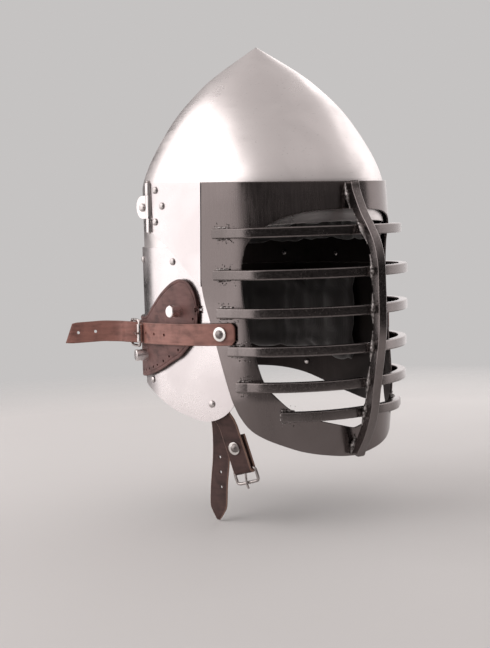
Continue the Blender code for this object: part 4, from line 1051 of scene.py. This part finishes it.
def make_visor_straps():
    """Straps from the mask through the roller buckles, punched, with a slanted free end."""
    path, end, t, n = strap_lines()
    for tag, side in SIDES:
        rows = []
        for i, (x, y) in enumerate(path):
            hw = 6.4 if i == 0 else STRAP_HW
            rows.append((x * side, y, lerp(STRAP_Z0, STRAP_Z1, i / 16), hw, *UP))
            if i == 0:
                x1, y1 = path[1]
                rows.append((lerp(x, x1, 0.45) * side, lerp(y, y1, 0.45), STRAP_Z0, STRAP_HW, *UP))
        tail = []
        for k, (s, h) in enumerate(RISE):
            q = end + t * s + n * h
            hw = 9.2 if k == len(RISE) - 1 else STRAP_HW
            z = STRAP_Z1 + 2.6 * min(1.0, h / 30.0) - 0.055 * max(0.0, h - 10.0)
            rows.append((q.x * side, q.y, z, hw, *UP))
            tail.append(Vector((q.x * side, q.y, z)))
        strap = strip("strap_" + tag, spline(rows, 5), STRAP_T, "visor", STRAP,
                      ["visor_strap_" + tag], crease=0.16)
        last = at(*tail[-1])
        run = (tail[-1] - tail[-2]).normalized()
        for vert in strap.data.vertices:
            behind = max(0.0, 1.0 + (vert.co - last).dot(run) / (TAIL_SPAN * MM))
            height = min(1.0, max(0.0, (vert.co.z - last.z) / (2 * STRAP_HW * MM) + 0.5))
            vert.co -= run * TAIL_SLANT * MM * min(1.0, behind) * height
        holes = []
        for s in (8.0, 26.0, 44.0):
            th = theta_y(ROLLER_Y - s, STRAP_B)
            nh = out_normal(th, STRAP_A, STRAP_B)
            holes.append((at(plan(th, STRAP_A, STRAP_B)[0] * side, ROLLER_Y - s, STRAP_Z1 + 0.5),
                          Vector((nh.x * side, nh.y, 0)), STRAP_HOLE_R))
        for k, part in ((8, 0.3), (10, 0.6)):
            mid = tail[k].lerp(tail[k - 1], part)
            along = (tail[k] - tail[k - 1]).normalized()
            holes.append((at(*mid), along.cross(Vector(UP)), STRAP_HOLE_R))
        pin = end + t * 5.0 + n * 0.8
        holes.append((at(pin.x * side, pin.y, STRAP_Z1), Vector((n.x * side, n.y, 0)), 1.9))
        punch(strap, holes)


def make_chapes():
    """Folded tabs that hold the roller buckles."""
    end, t, n = strap_lines()[1:]
    rc = end + n * (STRAP_T / 2 + 0.4 + ROLL_R)
    lift = math.radians(2.0)
    d = (t * math.cos(lift) + n * math.sin(lift)).normalized()
    pc = rc + d * FRAME_L
    thick = 2.2
    rmid = WIRE + 0.6 + thick / 2
    a = BAND_A + 0.35 + thick / 2
    b = a + 15.0
    line = [Vector((*plan(lerp(theta_y(112.0, b), theta_y(92.0, b), i / 4), a, b), 0)) for i in range(5)]
    for ang in (-22, 18, 58, 98, 138, 178, 212):
        q = math.radians(ang)
        line.append(pc - (n * math.cos(q) + d * math.sin(q)) * rmid)
    a2 = a + thick + 0.4
    b2 = b + thick + 0.4
    line += [Vector((*plan(lerp(theta_y(95.0, b + thick), theta_y(110.0, b + thick), i / 3), a2, b2), 0))
             for i in range(4)]
    for tag, side in SIDES:
        rows = [(q.x * side, q.y, STRAP_Z1, 9.0, *UP) for q in line]
        tab = strip("buckle_tab_" + tag, spline(rows, 5), thick, "helmet", STRAP,
                    ["chape_" + tag], crease=0.14)
        slot = pc - d * (rmid * 0.6)
        punch(tab, [(at(slot.x * side, slot.y, STRAP_Z1), Vector((d.x * side, d.y, 0)), 2.4)])


def guard_inside(depth):
    th = theta_y(-37.5, GUARD_B)
    x, y = plan(th, GUARD_A, GUARD_B)
    n = out_normal(th, GUARD_A, GUARD_B)
    return Vector((x - n.x * depth, y - n.y * depth, -198.0)), n


def make_chin_straps():
    """Both hanging ends of the chin strap: one folded round its buckle, one pointed tongue."""
    anchor, a_n = guard_inside(GUARD_T + 1.7 + CHIN_T / 2)
    along = Vector((-a_n.y, a_n.x, 0.0))
    if along.y > 0:
        along.negate()
    lead = [anchor + Vector((0, 0, 9.0)) - along * 4.4, anchor + Vector((0, 0, 3.0)) - along * 1.4,
            anchor - Vector((0, 0, 6.0)) + along * 3.0,
            anchor + Vector((5.2, -10.0, -18.5)), anchor + Vector((7.9, -13.0, -31.0)),
            anchor + Vector((10.3, -15.7, -43.0)), anchor + Vector((12.4, -18.1, -54.0))]
    down = (lead[-1] - lead[-2]).normalized()
    width = (Vector((0.25, -1.0, 0.0)) - down * Vector((0.25, -1.0, 0.0)).dot(down)).normalized()
    face = down.cross(width).normalized()
    if face.x > 0:
        face.negate()
    fold_r = CHIN_WIRE + 0.35 + CHIN_T / 2
    bar = lead[-1] + down * 7.0 - face * fold_r
    fold = [bar + (face * math.cos(math.radians(q)) + down * math.sin(math.radians(q))) * fold_r
            for q in (0, 36, 72, 108, 144, 180)]
    back = [bar - face * fold_r - down * q for q in (9.0, 20.0, 31.0)]
    edge_dir = Vector((a_n.y, -a_n.x, 0.0))
    if edge_dir.y < 0:
        edge_dir.negate()
    rows = []
    for i, q in enumerate(lead + fold + back):
        e = edge_dir.lerp(-width, min(1.0, max(0.0, (i - 2) / 2.0)))
        hw = 6.5 if i == 0 else 10.0
        rows.append((*q, hw, *e))
    buckle_end = strip("chin_strap", spline(rows, 5), CHIN_T, "chin_buckle_end", CHIN,
                       ["chin_strap_buckle_end"], crease=0.2)
    punch(buckle_end, [(at(*(bar + down * fold_r)), down, 2.6)])
    anchor2 = guard_inside(GUARD_T + 1.7 + CHIN_T * 1.5 + 1.0)[0]
    steps = ((0, 0, 10.0), (0, 0, 4.0), (0, 0, -8.0), (5.6, 3.6, -20.0), (8.4, 6.2, -36.0),
             (9.8, 9.0, -54.0), (9.6, 12.4, -76.0), (9.2, 13.8, -96.0), (9.2, 14.2, -103.0),
             (9.2, 14.6, -111.0))
    rows = []
    for i, step in enumerate(steps):
        hw = {0: 6.5, 8: 7.0, 9: 1.6}.get(i, 9.5)
        rows.append((*(anchor2 + Vector(step)), hw, *edge_dir))
    tongue = strip("chin_tongue", spline(rows, 5), CHIN_T - 0.4, "chin_tongue", CHIN,
                   ["chin_strap_tongue"], crease=0.15)
    spot = anchor2 + Vector((9.8, 10.0, 0))
    punch(tongue, [(at(spot.x, spot.y, spot.z + q), Vector((1, 0.3, 0)), 1.5) for q in (-52, -66, -80)])


# ---- padding ---------------------------------------------------------------------
PUFF_MM = 5.0           # how far the stuffing may push a point
VOXEL = 0.005


def stuffed(obj):
    """Swells a closed pad with a short cloth simulation and keeps the result."""
    scene = bpy.context.scene
    remesh = obj.modifiers.new("even", "REMESH")
    remesh.mode = "VOXEL"
    remesh.voxel_size = VOXEL
    obj.data = applied(obj)
    obj.modifiers.clear()
    start = [v.co.copy() for v in obj.data.vertices]
    cloth = obj.modifiers.new("cloth", "CLOTH")
    cloth.settings.quality = 5
    cloth.settings.use_pressure = True
    cloth.settings.uniform_pressure_force = 4.0
    cloth.settings.effector_weights.gravity = 0.0
    cloth.point_cache.frame_start = 1
    cloth.point_cache.frame_end = 20
    for step in range(1, 21):
        scene.frame_set(step)
    swollen = applied(obj)
    obj.modifiers.clear()
    obj.data = swollen
    for v, rest in zip(swollen.vertices, start):
        move = v.co - rest
        if move.length > PUFF_MM * MM:
            v.co = rest + move * (PUFF_MM * MM / move.length)
    scene.frame_set(1)


def quilt(obj, seams, depth=3.2, width=4.5, rows=()):
    """Sews channels: seams upright round the head, rows level, both pulled in by depth."""
    mesh = obj.data
    moves = []
    for v in mesh.vertices:
        theta = math.atan2(-v.co.x, -(v.co.y - PLAN_Y * MM))
        radius = math.hypot(v.co.x, v.co.y - PLAN_Y * MM)
        z = v.co.z / MM - BROW_Z
        step = 2 * math.pi / seams
        off = abs((theta + step / 2) % step - step / 2) * radius / MM
        pull = math.exp(-(off / width) ** 2) * min(1.0, radius / 0.03)
        for level in rows:
            pull = max(pull, math.exp(-((z - level) / width) ** 2))
        moves.append(v.co - v.normal * (depth * MM * pull))
    for v, co in zip(mesh.vertices, moves):
        v.co = co
    for poly in mesh.polygons:
        poly.use_smooth = True
    mesh.update()
    subdivide(obj, 1)


def closed_shell(outer, inner, wrap, tips=None):
    """Solid between two grids of columns; tips are the outer and inner crown points."""
    bm = bmesh.new()
    layers = []
    for grid, tip in zip((outer, inner), tips or (None, None)):
        top = bm.verts.new(tip) if tip else None
        layers.append([[bm.verts.new(p) for p in col] + ([top] if tip else []) for col in grid])
        grid_faces(bm, layers[-1], wrap)
    a, b = layers
    rim = [[p[0], q[0]] for p, q in zip(a, b)]
    grid_faces(bm, rim, wrap)
    if not tips:
        grid_faces(bm, [[p[-1], q[-1]] for p, q in zip(a, b)], wrap)
    if not wrap:
        for k in (0, -1):
            grid_faces(bm, [[p, q] for p, q in zip(a[k], b[k])], False)
    bmesh.ops.recalc_face_normals(bm, faces=bm.faces)
    return bm


def crown_grid(off, apex, cols=48):
    grid = []
    for i in range(cols):
        theta = 2 * math.pi * i / cols
        low = max(brow_low(theta) - 3.0, -58.0)
        col = [at(*skull_point(theta, lerp(low, 0.0, k / 4), off), lerp(low, 0.0, k / 4)) for k in range(4)]
        for z in (0.0, 10, 20, 30, 40, 50, 60, 68, 76, 84, 92, 100):
            col.append(at(*skull_point(theta, z, off), z * apex / 125.0))
        grid.append(col)
    return grid


def make_liners():
    near = SKULL_T + 2.6
    crown = closed_shell(crown_grid(near, 106.5), crown_grid(near + LINER_T - 3.4, 97.5), True,
                         (at(0, PLAN_Y + 1, 106.0), at(0, PLAN_Y + 1, 97.0)))
    obj = new_object("crown_pad", crown, None, CLOTH)
    stuffed(obj)
    quilt(obj, 16, rows=(-22.0, 40.0))
    wear_pad(obj, "liner_crown")

    edges = ((-24, -84, -176), (-10, -84, -180), (8, -84, -180), (27, -84, -177), (45, -84, -173),
             (62, -84, -170), (80, -84, -168), (98, -84, -167))
    top = [(theta_y(y, GUARD_B), hi) for y, hi, lo in edges]
    low = [(theta_y(y, GUARD_B), lo) for y, hi, lo in edges]
    for k in range(1, 4):
        turn = lerp(theta_y(98, GUARD_B), math.pi, k / 3.0)
        top.append((turn, -84.0))
        low.append((turn, -166.0))
    grids = []
    for a in (102.0 - 1.4, 102.0 - LINER_T + 2.0):
        grid = []
        for (t0, z0), (t1, z1) in zip(spline(mirror_edges(top), 3), spline(mirror_edges(low), 3)):
            rows = 14
            grid.append([at(*plan(lerp(t0, t1, k / rows), a, a + 14.6), lerp(z0 - 1.5, z1 + 1.5, k / rows))
                         for k in range(rows + 1)])
        grids.append(grid)
    obj = new_object("neck_pad", closed_shell(*grids, False), None, CLOTH)
    stuffed(obj)
    quilt(obj, 22, rows=(-104.0, -150.0))
    wear_pad(obj, "liner_neck")


def wear_pad(obj, node):
    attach(obj, "helmet")
    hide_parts(node)


# ---- pieces kept from the frame ------------------------------------------------------
RIVET_HEAD = 4.6        # dome radius inside the washer, mm


def keep_hardware():
    """Fasteners, hinges and buckles keep their CAD shape and gain smooth surfaces and a finish."""
    finishes = (("strap_rivet", None, True), ("chin_rivet", None, True), ("hinge_rivet", RIVET, True),
                ("guard_rivet", RIVET, True), ("edge_rivet", RIVET, True), ("chape_rivet", RIVET, True),
                ("pivot_rivet", RIVET, True), ("hinge_pin", WIRE_STEEL, True),
                ("buckle_frame", WIRE_STEEL, True), ("buckle_roller", WIRE_STEEL, True),
                ("buckle_prong", WIRE_STEEL, False), ("hinge_front", MIRROR, False),
                ("hinge_rear", MIRROR, False), ("vervelle", MIRROR, False))
    for name, obj in sorted(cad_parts.items()):
        for prefix, material, turned in finishes:
            if not name.startswith(prefix):
                continue
            obj.data.materials.clear()
            if material is None:
                low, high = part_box(name)
                out = (Vector(low) + Vector(high)) / 2
                out.z = 0.0
                cap = max((v.co.copy() for v in obj.data.vertices), key=out.dot)
                obj.data.materials.append(capped_rivet("cap_" + name, cap, RIVET_HEAD * MM,
                                                       (0.86, 0.83, 0.80), (0.30, 0.27, 0.26), 0.34))
            else:
                obj.data.materials.append(material)
            weld = obj.modifiers.new("weld", "WELD")
            weld.merge_threshold = 1e-5
            if turned:
                subdivide(obj, 2)
            else:
                ease(obj, 0.22, 2, 30.0)


# ---- studio ----------------------------------------------------------------------
# Name, azimuth and elevation in degrees, distance, width and height in metres, radiance.
SOFTBOXES = (("light_right_side", -124, 14, 1.30, 2.8, 2.3, 1.55),
             ("light_left_side", 101, 8, 1.35, 2.2, 1.8, 1.22))
LIGHT_TINT = (1.0, 0.955, 0.95)
BACKDROP = (0.56, 0.545, 0.54, 1.0)
SKY_STOPS = ((0.0, 0.030), (0.10, 0.035), (0.40, 0.50), (0.75, 0.66), (1.0, 0.58))   # height, grey
FLOOR_R = 1.35          # m
FLOOR_FADE = 0.66       # where the floor starts to fade out, as a share of its radius
FLOOR_GAP = 0.0015      # m under the lowest point

CAM_TURN = math.radians(-40.0)
CAM_PITCH = math.radians(6.26)
CAM_LEAN = math.radians(2.7)
CAM_DISTANCE = 1.400    # m
CAM_HEIGHT = 0.01945    # m above the brow line
CAM_ASIDE = -0.01796    # m
CAM_LENS = 80.52        # mm on a 36 mm sensor


def softbox(name, azimuth, elevation, distance, width, height, radiance):
    """Area light looking at the helmet; azimuth 0 is in front of the face, 90 on the wearer's left."""
    a = math.radians(azimuth)
    e = math.radians(elevation)
    away = Vector((math.sin(a) * math.cos(e), -math.cos(a) * math.cos(e), math.sin(e)))
    data = bpy.data.lights.new(name, "AREA")
    data.shape = "RECTANGLE"
    data.size = width
    data.size_y = height
    data.energy = radiance * math.pi * width * height
    data.color = LIGHT_TINT
    lamp = bpy.data.objects.new(name, data)
    bpy.context.scene.collection.objects.link(lamp)
    lamp.location = at(0, 0, -60) + away * distance
    lamp.rotation_mode = "QUATERNION"
    lamp.rotation_quaternion = away.to_track_quat("Z", "Y")


def make_studio():
    """Pale floor and backdrop, dim low surroundings and a softbox on either side."""
    scene = bpy.context.scene
    scene.view_settings.view_transform = "Standard"
    world = bpy.data.worlds.new("studio")
    scene.world = world
    world.use_nodes = True
    tree = world.node_tree
    coords = tree.nodes.new("ShaderNodeTexCoord")
    split = tree.nodes.new("ShaderNodeSeparateXYZ")
    ramp = tree.nodes.new("ShaderNodeValToRGB")
    tree.links.new(coords.outputs["Generated"], split.inputs["Vector"])
    tree.links.new(split.outputs["Z"], ramp.inputs["Fac"])
    rays = tree.nodes.new("ShaderNodeLightPath")
    pick = tree.nodes.new("ShaderNodeMix")
    pick.data_type = "RGBA"
    shade_in, paper_in = [i for i in pick.inputs if i.type == "RGBA"]
    paper_in.default_value = BACKDROP
    tree.links.new(rays.outputs["Is Camera Ray"], pick.inputs[0])
    tree.links.new(ramp.outputs["Color"], shade_in)
    tree.links.new([o for o in pick.outputs if o.type == "RGBA"][0],
                   tree.nodes["Background"].inputs["Color"])
    while len(ramp.color_ramp.elements) < len(SKY_STOPS):
        ramp.color_ramp.elements.new(0.5)
    for element, (where, grey) in zip(ramp.color_ramp.elements, SKY_STOPS):
        element.position = where
        element.color = (grey, grey * 0.94, grey * 0.93, 1.0)
    for light in SOFTBOXES:
        softbox(*light)

    disc = bmesh.new()
    bmesh.ops.create_circle(disc, cap_ends=True, segments=128, radius=FLOOR_R,
                            matrix=Matrix.Translation((0, 0, CAD_BOX[0].z - FLOOR_GAP)))
    mesh = bpy.data.meshes.new("floor")
    disc.to_mesh(mesh)
    disc.free()
    floor = bpy.data.objects.new("floor", mesh)
    scene.collection.objects.link(floor)
    m = Nodes("floor_paint", (0.62, 0.61, 0.60), 0.0, 0.75)
    paint = m.finish(rough=m.span(m.noise(9.0), 0.3, 0.7, 0.7, 0.82))
    reach = m.tree.nodes.new("ShaderNodeVectorMath")
    reach.operation = "LENGTH"
    m.link(m.coords, reach.inputs[0])
    clear = m.tree.nodes.new("ShaderNodeBsdfTransparent")
    fade = m.tree.nodes.new("ShaderNodeMixShader")
    m.link(m.span(reach.outputs["Value"], FLOOR_R * FLOOR_FADE, FLOOR_R, 0.0, 1.0), fade.inputs[0])
    m.link(m.bsdf.outputs[0], fade.inputs[1])
    m.link(clear.outputs[0], fade.inputs[2])
    m.link(fade.outputs[0], m.tree.nodes["Material Output"].inputs["Surface"])
    mesh.materials.append(paint)


def make_camera():
    """Stands in front on the wearer's right, a little above the brow, looking slightly down."""
    side, ahead = math.sin(CAM_TURN), math.cos(CAM_TURN)
    level = math.cos(CAM_PITCH)
    right = Vector((ahead, side, 0))
    forward = Vector((-side * level, ahead * level, -math.sin(CAM_PITCH)))
    up = right.cross(forward)
    spot = Vector((CAM_DISTANCE * side, -CAM_DISTANCE * ahead, CAM_HEIGHT)) + right * CAM_ASIDE
    lean = Matrix.Rotation(CAM_LEAN, 3, "X")
    right, up, forward, spot = lean @ right, lean @ up, lean @ forward, lean @ spot
    spot.z += BROW_Z * MM
    data = bpy.data.cameras.new("camera")
    data.lens = CAM_LENS
    data.sensor_width = 36.0
    data.clip_start = 0.05
    data.clip_end = 30.0
    camera = bpy.data.objects.new("camera", data)
    bpy.context.scene.collection.objects.link(camera)
    basis = Matrix((right, up, -forward)).transposed().to_4x4()
    basis.translation = spot
    camera.matrix_world = basis
    bpy.context.scene.camera = camera


make_camera()
make_studio()
make_skull()
make_guard()
make_band()
make_mask()
make_arms()
make_bars()
make_post_welds()
make_visor_straps()
make_chapes()
make_chin_straps()
make_liners()
keep_hardware()

bpy.context.view_layer.update()
